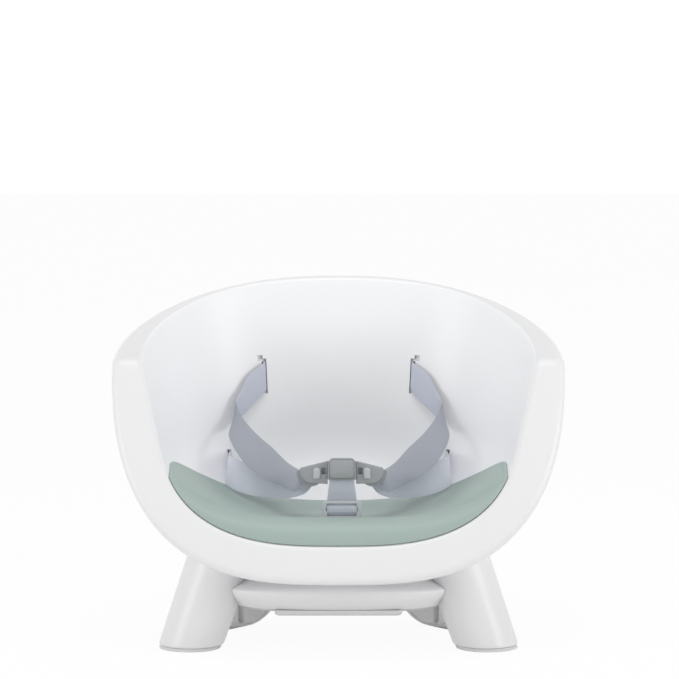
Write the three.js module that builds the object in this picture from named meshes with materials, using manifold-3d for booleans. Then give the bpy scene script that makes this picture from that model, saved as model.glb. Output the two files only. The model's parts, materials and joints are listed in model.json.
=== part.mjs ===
// A child's moulded booster seat: a bowl of two plastic skins on four short feet, with a soft
// seat pad and a five-point harness. Millimetres, +Z up, the front of the seat towards -Y.
// The origin is on the floor under the middle of the seat.
import * as THREE from "three";
import { mergeVertices } from "three/addons/utils/BufferGeometryUtils.js";
import Module from "manifold-3d";

const wasm = await Module();
wasm.setup();

// Bowl, outside
const overallWidth = 380;
const overallDepth = 280;
const overallHeight = 298;
const armHeight = 246.5; // top of the armrest at its front corner
const armSetback = 66; // from the front of the lip to where the armrest turns down
const armCornerRadius = 8.5;
const lipUnderside = 64; // lowest line of the front lip
const widestHeight = 235; // height at which the bowl is widest
const outerRecline = 0.089; // how far the back leans, per mm of height
const outerPlanPower = 2.2; // superellipse power of the bowl seen from above
const sidePower = 3; // powers of the bowl's curve seen from the front, at its sides
const floorPower = 2.28; // and under the seat

// Bowl, seat side
const seatFloorHeight = 96.3; // the moulding's floor under the pad
const sideHollow = 60.6; // from the bowl's side in to the seat's side at the floor
const innerWallLean = 0.245;
const innerWallStart = 168; // height at which the rounded floor becomes a straight wall
const backHollow = 20.5; // from the bowl's back in to the seat's back at the floor
const innerRecline = 0.153;
const innerPlanPower = 2.4;
const lipRounding = 1.8; // the rim's round edge takes this much off the depth
const lipLean = 10; // how far the lip's face leans back

// Both skins
const bodyLineY = -46; // cross-line from which the back closes round
const poleY = -30; // where the surfaces meet under the seat
const frontSweep = 1.2; // how the front edge curves from the lip up to the armrest
const rimRise = 1.6; // how the rim climbs from the armrest to the top of the back
const wall = 2.6;
const seamDrop = 14; // from the rim's outer edge back to the joint of the two skins
const seamGap = 0.4;
const outerRimRadius = 9;
const innerRimRadius = 5;
const seatGap = 0.3; // clearance between pieces that rest on each other

// Seat pad
const padThickness = 20; // at the roll behind its front edge
const padRimThickness = 5; // at its horns and along its back edge
const padHornHeight = 158;
const padBackY = 54;
const padSlotWidth = 46;
const padSlotLength = 7;
const padInset = 1.2;
const padMiddleY = -45; // the point its rings close on
const padEdgePower = 1.8; // of the curve in which its edge falls from the horns to the back

// Feet
const footInset = 64.4; // from the bowl's side in to a front foot's centre on the floor
const footSetback = 72; // from the front of the lip to the same centre
const footRadius = 27.5;
const footSplay = 0.345; // inwards per mm of height
const footGrowth = 0.02; // the foot's radius grows per mm of height
const footRake = 0.1; // backwards per mm of height
const footWall = 3;
const rearFootSetback = 106; // from the top of the back to a rear foot's middle
const rearFootHalfDepth = 28;
const rearFootInset = 48.4; // from the bowl's side in to the foot's outer side on the floor
const rearFootWidth = 55;
const rearFootShoulder = 38; // how far the rear foot's inner side swells above the floor
const rearShoulderHeight = 44;
const rearPanelDepth = 8; // of the panel recessed in the rear foot's front
const rearGrooveX = 84.6; // an upright groove in that panel
const rearGrooveWidth = 5;
const rearGrooveDepth = 3;
const footPadThickness = 3;
const footPadInset = 1.4;
const footPadPlug = 5;
const footCeiling = 50; // height of the underside of a foot's top wall, where its screw seats

// Hub under the bowl, between the feet
const hubSideInset = 85; // from the bowl's side in to the hub's side
const hubFrontInset = 36; // from the front of the lip to the hub's front
const hubRearInset = 66; // from the top of the back to the hub's rear
const hubPower = 3.5;
const hubBottom = 36;
const hubWall = 3;
const coverThickness = 2.6;
const coverLipWidth = 107;
const coverLipDrop = 4.6;
const coverLipDepth = 26;
const coverBoss = 4;
const coverScrewInset = 65; // from the hub's side in to a cover screw
const coverScrewHole = 1.7;
const coverScrewRadius = 1.4;
const coverScrewHead = 3.1;

// Harness
const webbingWidth = 25;
const webbingThickness = 1.3;
const harnessX = 2.9; // the buckle hangs a little to one side of the middle
const harnessY = -72;
const buckleWidth = 23.4;
const buckleDepth = 13;
const buckleBottom = 143.8;
const buckleTop = 162.4;
const buttonTravel = 2.4;
const tongueTravel = 18;
const buttonWidth = 20.2;
const buttonHeight = 15.6;
const buttonDepth = 4.9;
const buttonProud = 1.6;
const buttonBulge = 1.5; // how far its front curves out between its top and bottom edges
const strapGrip = 2.6; // depth of the crotch strap's end in the housing
const springRadius = 1.4;
const springWire = 0.35;
const tongueThickness = 4;
const tongueY = -70.5;
const tongueLow = 140;
const tongueTop = 159.1;
const tongueOuterTop = 153.4;
const tongueReach = 35.1;
const tongueCorner = 10; // radius of its lower outer corner
const prongReach = 3;
const prongThickness = 3.4;
const prongHeight = 11.4;
const lugWidth = 3.4;
const postRadius = 3.2;
const postOut = 20.9;
const postZ = 150.6;
const clipThickness = 2.5;
const clipRadius = 11.8;
const clipOut = 26.4; // from the buckle's middle to the middle of the clip
const clipZ = 148.8;
const clipHoleWall = 2.2;
const sleeveRadius = 3;
const lapPocketY = -63.4;
const lapEndWidth = 16;
const lapEndZ = 149.5;
const webbingEndWidth = 21;
const sliderWidth = 34;
const sliderHeight = 15;
const sliderDepth = 3.4;
const sliderRail = 2.2;
const sliderBar = 3.2;
const sliderZ = 118.2;
const foldDepth = 6; // of a strap's stitched end behind the wall's face
const foldThickness = 5;
const foldLength = 1.8;
const anchorWidth = 12;
const anchorHeight = 40;
const anchorThickness = 1.6;
const anchorGap = 0.5;
const crotchFoldZ = 88.5;
const crotchRunZ = 104; // where the crotch strap comes straight out of the pad
const crotchTaper = 9.8; // below the buckle, where the crotch strap starts to narrow
const crotchTaperWidth = 23;
const sliderLead = 6.6; // from the slider's middle to where the strap bends into it
const crotchAnchorDepth = 10;
const crotchAnchorOverhang = 12; // of the anchor bar beyond its slot, both ends together
const shoulderSlotX = 65.5;
const shoulderSlotHeight = 31;
const shoulderSlotMiddle = 211;
const slotWidth = 4.4;
const lapSlotAngle = 50; // degrees round from the side to the back
const lapSlotMiddle = 137;
const crotchSlotWidth = 32;

// Screws
const screwRadius = 1.9;
const screwHole = 2.2;
const screwHead = 4.2;
const bossRadius = 5.5;
const bossClearance = 1.6; // between a boss's end and the outer skin
const screwDepth = 44; // from a foot's ceiling up into the boss

// Mesh density
const frontSteps = 12;
const armSteps = 2;
const arcSteps = 12;

const halfWidth = overallWidth / 2;
const halfDepth = overallDepth / 2;
const armFrontY = armSetback - halfDepth;
const footTrack = halfWidth - footInset;
const footFrontY = footSetback - halfDepth;
const rearFootY = halfDepth - rearFootSetback;
const rearFootOuter = halfWidth - rearFootInset;
const rearFootInner = rearFootOuter - rearFootWidth;
const hubHalfWidth = halfWidth - hubSideInset;
const hubReach = halfDepth - (hubFrontInset + hubRearInset) / 2;
const hubMiddleY = (hubFrontInset - hubRearInset) / 2;
const outerBackReach = halfDepth - bodyLineY - outerRecline * (overallHeight - lipUnderside);
const innerHalfWidth = halfWidth - sideHollow;
const innerBackReach = outerBackReach - backHollow;
const buckleMiddle = (buckleBottom + buckleTop) / 2;

const white = { color: 0xefefef, roughness: 0.45, metalness: 0 };
const sage = { color: 0x9fb5aa, roughness: 0.7, metalness: 0 };
const webbing = { color: 0xb4b7c0, roughness: 0.9, metalness: 0 };
const grey = { color: 0x9c9fa2, roughness: 0.5, metalness: 0 };
const rubber = { color: 0x3a3c3e, roughness: 0.9, metalness: 0 };
const steel = { color: 0xb9bcc0, roughness: 0.3, metalness: 1 };

const group = new THREE.Group();
const vec = (x, y, z) => new THREE.Vector3(x, y, z);
const mix = THREE.MathUtils.lerp;
const clamp = THREE.MathUtils.clamp;
const degrees = THREE.MathUtils.degToRad;

// Solids

function solidOf(geometry) {
  const plain = geometry.index ? geometry.toNonIndexed() : geometry.clone();
  plain.deleteAttribute("normal");
  plain.deleteAttribute("uv");
  const merged = mergeVertices(plain, 1e-4);
  return new wasm.Manifold(
    new wasm.Mesh({
      numProp: 3,
      vertProperties: merged.attributes.position.array,
      triVerts: new Uint32Array(merged.index.array),
    }),
  );
}

function geometryOf(solid) {
  const mesh = solid.getMesh();
  const geometry = new THREE.BufferGeometry();
  geometry.setAttribute("position", new THREE.BufferAttribute(mesh.vertProperties, 3));
  geometry.setIndex(new THREE.BufferAttribute(mesh.triVerts, 1));
  return geometry;
}

function addPiece(name, shape, finish) {
  const geometry = shape.isBufferGeometry ? shape : geometryOf(shape);
  const flat = geometry.index ? geometry.toNonIndexed() : geometry;
  flat.computeVertexNormals();
  const mesh = new THREE.Mesh(flat, new THREE.MeshStandardMaterial(finish));
  mesh.name = name;
  group.add(mesh);
  return mesh;
}

// A closed skin through rings of equal length; an end that isn't closed by a point is capped flat.
function loft(rings, startPoint, endPoint, joined = false) {
  const count = rings[0].length;
  const points = rings.flat().flatMap((p) => [p.x, p.y, p.z]);
  const faces = [];
  const last = rings.length - 1;
  for (let r = 0; r < (joined ? rings.length : last); r += 1) {
    const next = (r + 1) % rings.length;
    for (let k = 0; k < count; k += 1) {
      const a = r * count + k;
      const b = r * count + ((k + 1) % count);
      const c = next * count + k;
      const d = next * count + ((k + 1) % count);
      faces.push(a, b, c, b, d, c);
    }
  }
  const fan = (ring, point, flip) => {
    const tip = points.length / 3;
    points.push(point.x, point.y, point.z);
    for (let k = 0; k < count; k += 1) {
      const a = ring * count + k;
      const b = ring * count + ((k + 1) % count);
      faces.push(...(flip ? [b, a, tip] : [a, b, tip]));
    }
  };
  const middle = (ring) => ring.reduce((s, p) => s.add(p), vec(0, 0, 0)).divideScalar(count);
  if (!joined) {
    fan(0, startPoint ?? middle(rings[0]), true);
    fan(last, endPoint ?? middle(rings[last]), false);
  }
  const geometry = new THREE.BufferGeometry();
  geometry.setAttribute("position", new THREE.BufferAttribute(new Float32Array(points), 3));
  geometry.setIndex(faces);
  return outward(geometry);
}

// Turns a closed geometry so that its faces point out.
function outward(geometry) {
  const p = geometry.attributes.position;
  const index = geometry.index.array;
  const corner = (i) => vec(0, 0, 0).fromBufferAttribute(p, index[i]);
  let volume = 0;
  for (let i = 0; i < index.length; i += 3) {
    volume += corner(i).dot(corner(i + 1).cross(corner(i + 2)));
  }
  if (volume < 0) {
    for (let i = 0; i < index.length; i += 3) {
      [index[i], index[i + 1]] = [index[i + 1], index[i]];
    }
  }
  return geometry;
}

// The biggest of the bodies that a cut leaves.
const largest = (solid) => solid.decompose().sort((a, b) => b.volume() - a.volume())[0];

function rod(radius, from, to, sides = 20, endRadius = radius) {
  const along = to.clone().sub(from);
  const geometry = new THREE.CylinderGeometry(endRadius, radius, along.length(), sides);
  geometry.applyQuaternion(
    new THREE.Quaternion().setFromUnitVectors(vec(0, 1, 0), along.clone().normalize()),
  );
  const middle = from.clone().add(to).multiplyScalar(0.5);
  return solidOf(geometry.translate(middle.x, middle.y, middle.z));
}

// A plate with rounded corners in X and Z, thick in Y, its edges softened by a bevel.
function plate(width, height, depth, radius, bevel = 0) {
  const w = width / 2 - bevel;
  const h = height / 2 - bevel;
  const r = Math.min(radius, w - 0.01, h - 0.01);
  const shape = new THREE.Shape();
  shape.moveTo(-w + r, -h);
  shape.lineTo(w - r, -h);
  shape.absarc(w - r, -h + r, r, -Math.PI / 2, 0);
  shape.lineTo(w, h - r);
  shape.absarc(w - r, h - r, r, 0, Math.PI / 2);
  shape.lineTo(-w + r, h);
  shape.absarc(-w + r, h - r, r, Math.PI / 2, Math.PI);
  shape.lineTo(-w, -h + r);
  shape.absarc(-w + r, -h + r, r, Math.PI, Math.PI * 1.5);
  const geometry = new THREE.ExtrudeGeometry(shape, {
    depth: depth - 2 * bevel,
    bevelEnabled: bevel > 0,
    bevelThickness: bevel,
    bevelSize: bevel,
    bevelSegments: 1,
    curveSegments: 3,
  });
  geometry.translate(0, 0, -(depth - 2 * bevel) / 2);
  geometry.rotateX(Math.PI / 2);
  return geometry;
}

function block(width, depth, height, x, y, z) {
  return solidOf(new THREE.BoxGeometry(width, depth, height).translate(x, y, z));
}

// The bowl's two faces. Each is worked out for a set of stations round the rim, from the
// middle of the lip, up the front edge, along the armrest and round to the middle of the back.

const outerFace = {
  half: halfWidth,
  lean: 0,
  low: lipUnderside,
  wide: widestHeight,
  reach: outerBackReach,
  recline: outerRecline,
  power: outerPlanPower,
  lipY: -halfDepth - lipRounding,
};
const innerFace = {
  half: innerHalfWidth,
  lean: innerWallLean,
  low: seatFloorHeight,
  wide: innerWallStart,
  reach: innerBackReach,
  recline: innerRecline,
  power: innerPlanPower,
  lipY: -halfDepth - lipRounding + lipLean,
};

// The same face moved by a distance away from the seated child; a negative one moves it inwards.
function moved(face, by) {
  const half = face.half + by;
  return { ...face, half, low: face.low - by, reach: face.reach + by, front: undefined };
}

const widthAt = (face, share, z) => face.half * share + face.lean * (z - face.low);
const reachAt = (face, share, z) => face.reach * share + face.recline * (z - face.low);

// Height of the rounded floor where it has a share of its full width, and the reverse.
function floorHeight(face, share) {
  return face.wide - (face.wide - face.low) * (1 - share ** sidePower) ** (1 / floorPower);
}

function floorShare(face, z) {
  const fall = Math.min(1, Math.max(0, (face.wide - z) / (face.wide - face.low)));
  return (1 - fall ** floorPower) ** (1 / sidePower);
}

function frontLineY(face, z) {
  const climb = Math.max(0, (z - face.low) / (armHeight - face.low));
  return mix(face.lipY, armFrontY, climb ** frontSweep);
}

function rimHeight(y) {
  const run = Math.max(0, (y - armFrontY) / (halfDepth - armFrontY));
  return mix(armHeight, overallHeight, Math.min(1, run) ** rimRise);
}

// The front edge as a curve from the middle of the lip to just under the armrest's corner.
function frontEdge(face) {
  const points = [];
  const samples = 24;
  for (let i = 0; i <= samples; i += 1) {
    const angle = (i / samples) * (Math.PI / 2);
    const share = Math.sin(angle) ** (2 / sidePower);
    const z = floorHeight(face, Math.min(1, share));
    points.push(vec(widthAt(face, share, z), frontLineY(face, z), z));
  }
  const top = armHeight - armCornerRadius;
  for (let i = 1; i <= 4; i += 1) {
    const z = mix(face.wide, top, i / 4);
    points.push(vec(widthAt(face, 1, z), frontLineY(face, z), z));
  }
  return new THREE.CatmullRomCurve3(points, false, "centripetal");
}

const stations = [];
for (let i = 0; i <= frontSteps; i += 1) stations.push({ part: "front", share: i / frontSteps });
for (const share of [0.25, 0.5, 0.75]) stations.push({ part: "corner", share });
for (let i = 0; i < armSteps; i += 1) {
  const y = mix(armFrontY + armCornerRadius, bodyLineY, i / armSteps);
  stations.push({ part: "arm", y });
}
for (let i = 0; i <= arcSteps; i += 1) {
  stations.push({ part: "arc", angle: degrees((90 * i) / arcSteps) });
}

function roundPlan(face, station, share, z) {
  const side = Math.max(0, Math.cos(station.angle)) ** (2 / face.power);
  const back = Math.max(0, Math.sin(station.angle)) ** (2 / face.power);
  const middleY = mix(poleY, bodyLineY, share);
  return vec(widthAt(face, share, z) * side, middleY + reachAt(face, share, z) * back, z);
}

// The rim's height over a station of the arc, found on the outer face.
function arcHeight(station) {
  let z = armHeight;
  for (let i = 0; i < 12; i += 1) z = rimHeight(roundPlan(outerFace, station, 1, z).y);
  return z;
}

function edgePoint(face, station) {
  if (station.part === "front") {
    face.front = face.front ?? frontEdge(face);
    return face.front.getPointAt(station.share);
  }
  if (station.part === "corner") {
    const low = vec(widthAt(face, 1, armHeight), armFrontY, armHeight);
    const before = edgePoint(face, { part: "front", share: 1 });
    const after = edgePoint(face, { part: "arm", y: armFrontY + armCornerRadius });
    return new THREE.QuadraticBezierCurve3(before, low, after).getPoint(station.share);
  }
  if (station.part === "arm") {
    const z = rimHeight(station.y);
    return vec(widthAt(face, 1, z), station.y, z);
  }
  return roundPlan(face, station, 1, arcHeight(station));
}

// Where the straight wall under a rim point ends and the rounded floor starts.
function turnPoint(face, station) {
  if (station.part === "arc") return roundPlan(face, station, 1, face.wide);
  const edge = edgePoint(face, station);
  const y = mix(edge.y, bodyLineY, 0.7);
  if (edge.z < face.wide) return vec(edge.x, y, edge.z);
  return vec(widthAt(face, 1, face.wide), y, face.wide);
}

// A point of a face: depth 0 is the rim, 1 the turn into the floor, 2 the pole under the seat.
function facePoint(face, station, depth) {
  if (depth <= 1) {
    const edge = edgePoint(face, station);
    const turn = turnPoint(face, station);
    return edge.lerp(turn, depth);
  }
  const share = 2 - depth;
  if (station.part === "arc") return roundPlan(face, station, share, floorHeight(face, share));
  const turn = turnPoint(face, station);
  const full = floorShare(face, turn.z);
  const z = floorHeight(face, full * share);
  return vec(widthAt(face, full * share, z), mix(poleY, turn.y, share), z);
}

const inwards = (face, station) =>
  turnPoint(face, station).sub(edgePoint(face, station)).normalize();

// A ring of points round the whole rim from a function of the right half's stations.
function fullRing(pointAt) {
  const right = stations.map((station, k) => pointAt(station, k));
  right[0].x = 0;
  right[right.length - 1].x = 0;
  const left = right.slice(1, -1).reverse();
  return [...right, ...left.map((p) => vec(-p.x, p.y, p.z))];
}

const faceRing = (face, depth) => fullRing((station) => facePoint(face, station, depth));
const pole = (face) => vec(0, poleY, face.low);

// A rounded corner between the point on one side, the corner itself and the point on the other.
function cornerRings(corner, from, to, shares) {
  return shares.map((share) =>
    fullRing((s) => new THREE.QuadraticBezierCurve3(from(s), corner(s), to(s)).getPoint(share)),
  );
}

// Seat shell: the front moulding, with the rim's flat band and the wall returned behind it.
const wallShares = [0.35, 0.7, 1, 1.02, 1.06, 1.13, 1.25, 1.42, 1.6, 1.8];
const innerBack = moved(innerFace, wall);
const outerBack = moved(outerFace, -wall);

function rimRings() {
  const outer = (s) => edgePoint(outerFace, s);
  const inner = (s) => edgePoint(innerFace, s);
  const band = (s) => inner(s).sub(outer(s)).normalize();
  const bandWidth = (s) => inner(s).distanceTo(outer(s));
  const outerRadius = (s) => Math.min(outerRimRadius, 0.45 * bandWidth(s));
  const from = (s) => outer(s).addScaledVector(inwards(outerFace, s), outerRadius(s));
  const onBand = (s) => outer(s).addScaledVector(band(s), outerRadius(s));
  const innerRadius = (s) => Math.min(innerRimRadius, 0.45 * bandWidth(s));
  const bandEnd = (s) => inner(s).addScaledVector(band(s), -innerRadius(s));
  const into = (s) => inner(s).addScaledVector(inwards(innerFace, s), innerRadius(s));
  return [
    ...cornerRings(outer, from, onBand, [0, 0.3, 0.65, 1]),
    ...cornerRings(inner, bandEnd, into, [0, 0.5, 1]),
  ];
}

function seamRing(face, drop) {
  return fullRing((s) => edgePoint(face, s).addScaledVector(inwards(face, s), drop));
}

function seatShellBlank() {
  const inner = wallShares.map((depth) => faceRing(innerFace, depth));
  const back = [...wallShares].reverse().map((depth) => faceRing(innerBack, depth));
  const front = [seamRing(outerFace, seamDrop), ...rimRings(), ...inner];
  const hidden = [...back, seamRing(innerBack, wall), seamRing(outerBack, wall)];
  hidden.push(seamRing(outerBack, seamDrop));
  return shellBetween(front, pole(innerFace), hidden, pole(innerBack));
}

// A skin whose visible rings run from its free edge to a pole, and whose hidden ones run back.
function shellBetween(front, frontPole, hidden, hiddenPole) {
  const count = front[0].length;
  const rings = [...front, ...hidden];
  const points = rings.flat();
  const faces = [];
  const strip = (r, next) => {
    for (let k = 0; k < count; k += 1) {
      const a = r * count + k;
      const b = r * count + ((k + 1) % count);
      const c = next * count + k;
      const d = next * count + ((k + 1) % count);
      faces.push(a, b, c, b, d, c);
    }
  };
  for (let r = 0; r < rings.length - 1; r += 1) if (r !== front.length - 1) strip(r, r + 1);
  strip(rings.length - 1, 0);
  const close = (ring, tip, flip) => {
    points.push(tip);
    for (let k = 0; k < count; k += 1) {
      const a = ring * count + k;
      const b = ring * count + ((k + 1) % count);
      faces.push(...(flip ? [b, a, points.length - 1] : [a, b, points.length - 1]));
    }
  };
  close(front.length - 1, frontPole, false);
  close(front.length, hiddenPole, true);
  const geometry = new THREE.BufferGeometry();
  const flat = new Float32Array(points.flatMap((p) => [p.x, p.y, p.z]));
  geometry.setAttribute("position", new THREE.BufferAttribute(flat, 3));
  geometry.setIndex(faces);
  return outward(geometry);
}

// Back shell: the outer moulding, from the joint behind the rim down and under the seat.
function backShellBlank() {
  const drop = seamDrop + seamGap;
  const depths = wallShares.filter((depth) => depth >= 1);
  const belowSeam = (face) =>
    fullRing((s) => {
      const seam = edgePoint(face, s).addScaledVector(inwards(face, s), drop);
      return seam.lerp(turnPoint(face, s), 0.45);
    });
  const rings = (face) => [
    seamRing(face, drop), belowSeam(face), ...depths.map((depth) => faceRing(face, depth)),
  ];
  return shellBetween(
    rings(outerFace), pole(outerFace), rings(outerBack).reverse(), pole(outerBack),
  );
}

// The room inside a face as a solid, carried straight up above its first ring and closed there.
function roomOf(face, firstDepth = 0) {
  const depths = [firstDepth, ...wallShares.filter((d) => d > firstDepth)];
  const loops = depths.map((depth) => faceRing(face, depth));
  const mouth = loops[0].map((p) => vec(p.x, p.y, p.z + overallHeight));
  return solidOf(loft([mouth, ...loops], vec(0, poleY, 2 * overallHeight), pole(face)));
}

// A group that stands on the seat side of the wall, its Y pointing into the wall.
function wallFrame(station, z, side) {
  const face = innerFace;
  const place = (angle, height) => {
    const share = floorShare(face, height);
    return roundPlan(face, { part: "arc", angle: degrees(angle) }, share, height);
  };
  const step = 0.5;
  const here = place(station, z);
  const along = place(station + step, z).sub(place(station - step, z));
  const out = vec(along.y, -along.x, 0).normalize();
  if (out.dot(vec(here.x, here.y - bodyLineY, 0)) < 0) out.negate();
  const rise = place(station, z + step).sub(place(station, z - step)).divideScalar(2 * step);
  const lean = Math.atan(rise.dot(out));
  const frame = new THREE.Matrix4().makeRotationZ(-side * Math.atan2(out.x, out.y));
  frame.multiply(new THREE.Matrix4().makeRotationX(-lean));
  frame.setPosition(side * here.x, here.y, here.z);
  return frame;
}

// Angle round the back at which the wall is a given distance from the middle.
function wallAngle(x, z) {
  const share = floorShare(innerFace, z);
  const part = Math.min(1, x / widthAt(innerFace, share, z));
  return THREE.MathUtils.radToDeg(Math.acos(part ** (innerFace.power / 2)));
}

const shoulderFrames = { left: -1, right: 1 };
const lapFrames = { left: -1, right: 1 };
for (const side of ["left", "right"]) {
  const sign = side === "left" ? -1 : 1;
  const angle = wallAngle(shoulderSlotX, shoulderSlotMiddle);
  shoulderFrames[side] = wallFrame(angle, shoulderSlotMiddle, sign);
  lapFrames[side] = wallFrame(lapSlotAngle, lapSlotMiddle, sign);
}

const seatRoom = roomOf(innerFace, 1);
const cavityRoom = roomOf(moved(outerBack, -bossClearance), 0);

function footAxis(z) {
  return vec(footTrack - footSplay * z, footFrontY + footRake * z, z);
}

const rearAxisX = (rearFootOuter + rearFootInner) / 2;
const screwPlaces = [
  { name: "front_left", x: -footAxis(footCeiling).x, y: footAxis(footCeiling).y },
  { name: "front_right", x: footAxis(footCeiling).x, y: footAxis(footCeiling).y },
  { name: "rear_left", x: -rearAxisX + 22, y: rearFootY },
  { name: "rear_right", x: rearAxisX - 22, y: rearFootY },
];

function seatShell() {
  let solid = solidOf(seatShellBlank());
  for (const { x, y } of screwPlaces) {
    const post = rod(bossRadius, vec(x, y, lipUnderside), vec(x, y, innerWallStart), 16);
    solid = solid.add(post.intersect(cavityRoom).subtract(seatRoom));
  }
  for (const { x, y } of screwPlaces) {
    solid = solid.subtract(rod(screwHole, vec(x, y, 0), vec(x, y, footCeiling + screwDepth), 12));
  }
  for (const side of ["left", "right"]) {
    const cut = new THREE.BoxGeometry(slotWidth, 14, shoulderSlotHeight);
    solid = solid.subtract(solidOf(cut.applyMatrix4(shoulderFrames[side])));
    const sign = side === "left" ? -1 : 1;
    const notch = new THREE.BoxGeometry(5, 14, 5);
    notch.translate(sign * 3.6, 0, shoulderSlotHeight / 2 + 0.4);
    solid = solid.subtract(solidOf(notch.applyMatrix4(shoulderFrames[side])));
    const lapCut = new THREE.BoxGeometry(slotWidth, 16, webbingWidth + 4);
    solid = solid.subtract(solidOf(lapCut.applyMatrix4(lapFrames[side])));
  }
  const floorCut = block(crotchSlotWidth, slotWidth + 1, 20, harnessX, harnessY, seatFloorHeight);
  return solid.subtract(floorCut);
}

function backShell() {
  let solid = solidOf(backShellBlank());
  for (const { x, y } of screwPlaces) {
    solid = solid.subtract(rod(screwHole, vec(x, y, 0), vec(x, y, footCeiling + screwDepth), 12));
  }
  return solid;
}

addPiece("seat_shell", largest(seatShell()), white);
addPiece("back_shell", backShell(), white);

// Seat pad: a dished insert on the shell's floor that climbs to a horn beside each armrest.
const padFace = moved(innerFace, -seatGap);

// Shares of the way up to the horns and of the way back to the rear edge.
const padClimb = (p) => Math.max(0, (p.z - padFace.low) / (padHornHeight - padFace.low));
const padRun = (p) => Math.max(0, (p.y - bodyLineY) / (padBackY - bodyLineY));

function padEdge(station) {
  let [near, far] = [0, 2];
  for (let i = 0; i < 30; i += 1) {
    const depth = (near + far) / 2;
    const point = facePoint(padFace, station, depth);
    if (padClimb(point) ** padEdgePower + padRun(point) ** padEdgePower > 1) near = depth;
    else far = depth;
  }
  return facePoint(padFace, station, far);
}

// Height of a face's floor or wall over a point of the plan.
function heightOver(face, x, y) {
  let [low, high] = [face.low, overallHeight];
  for (let i = 0; i < 30; i += 1) {
    const z = (low + high) / 2;
    const share = floorShare(face, z);
    const middle = mix(poleY, bodyLineY, share);
    const across = Math.abs(x) / widthAt(face, share, z);
    const along = Math.max(0, y - middle) / reachAt(face, share, z);
    if (across ** face.power + along ** face.power < 1) high = z;
    else low = z;
  }
  return high;
}

function normalOver(face, x, y) {
  const step = 1.5;
  const slope = (dx, dy) =>
    (heightOver(face, x + dx, y + dy) - heightOver(face, x - dx, y - dy)) / (2 * step);
  return vec(-slope(step, 0), -slope(0, step), 1).normalize();
}

// A ring of the pad: its edge drawn in towards the middle, on the shell or raised from it.
function padRing(share, rise) {
  return fullRing((station) => {
    const edge = padEdge(station);
    const middle = vec(0, padMiddleY, 0);
    const point = edge.clone().lerp(middle, 1 - share);
    const face = rise < 0 ? innerBack : padFace;
    point.z = heightOver(face, point.x, point.y);
    if (rise < 0) return point;
    const thin = clamp(padClimb(edge) * share + 0.8 * padRun(point) ** 2, 0, 1);
    const thickness = mix(padThickness, padRimThickness, thin);
    return point.addScaledVector(normalOver(face, point.x, point.y), rise * thickness);
  });
}

function seatPad() {
  const inset = 1 - padInset / innerHalfWidth;
  const top = [
    [1.0, 0.1], [0.992, 0.38], [0.965, 0.64], [0.92, 0.82], [0.84, 0.95], [0.74, 1], [0.58, 0.92],
    [0.38, 0.74], [0.19, 0.66],
  ];
  const rings = [0.5, 1].map((share) => padRing(share * inset, -1));
  for (const [share, rise] of top) rings.push(padRing(share * inset, rise));
  const root = vec(0, padMiddleY, innerBack.low);
  const crown = vec(0, padMiddleY, padFace.low + 0.64 * padThickness);
  const solid = solidOf(loft(rings, root, crown)).intersect(roomOf(padFace));
  const slot = plate(padSlotWidth, padSlotLength, 60, padSlotLength / 2).rotateX(Math.PI / 2);
  return largest(solid.subtract(solidOf(slot.translate(harnessX, harnessY, seatFloorHeight))));
}

addPiece("seat_pad", seatPad(), sage);

// Feet

function ellipseRing(cx, cy, z, rx, ry, sides, power = 2) {
  const ring = [];
  for (let i = 0; i < sides; i += 1) {
    const a = (i / sides) * Math.PI * 2;
    const c = Math.cos(a);
    const s = Math.sin(a);
    ring.push(
      vec(
        cx + rx * Math.sign(c) * Math.abs(c) ** (2 / power),
        cy + ry * Math.sign(s) * Math.abs(s) ** (2 / power),
        z,
      ),
    );
  }
  return ring;
}

// A front foot's cone, grown by a distance, between two heights; side is -1 on the left.
function footCone(side, grow, low, high, sides = 26) {
  const rings = [];
  for (const z of [low, (low + high) / 2, high]) {
    const axis = footAxis(z);
    const radius = footRadius + footGrowth * z + grow;
    rings.push(ellipseRing(side * axis.x, axis.y, z, radius, radius, sides));
  }
  return solidOf(loft(rings));
}

// A rear foot's haunch: a splayed outer side and a rounded inner corner that swells to the hub.
function rearHaunch(side, grow, low, high, sides = 26) {
  const levels = [3, 6, 12, 20, 30, 40, 60].filter((z) => z > low + 0.5 && z < high - 0.5);
  const rings = [];
  for (const z of [low, ...levels, high]) {
    const climb = clamp(z / rearShoulderHeight, 0, 1);
    const swell = rearFootShoulder * Math.sqrt(1 - (1 - climb) ** 2);
    const inner = rearFootInner - swell - grow;
    const outer = rearFootOuter - footSplay * z + grow;
    const depth = rearFootHalfDepth + 0.05 * z + grow;
    const cx = (side * (inner + outer)) / 2;
    rings.push(ellipseRing(cx, rearFootY - 0.08 * z, z, (outer - inner) / 2, depth, sides, 2.5));
  }
  return solidOf(loft(rings));
}

const footTop = 150;
const bowlRoom = roomOf(moved(outerFace, seatGap), 0);
const footBottom = footPadThickness;

function frontFoot(side) {
  const outside = footCone(side, 0, footBottom, footTop).subtract(bowlRoom);
  const place = screwPlaces.find((p) => Math.sign(p.x) === side && p.y < 0);
  const hollow = footCone(side, -footWall, -5, footCeiling);
  return outside.subtract(hollow).subtract(screwRod(place));
}

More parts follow.
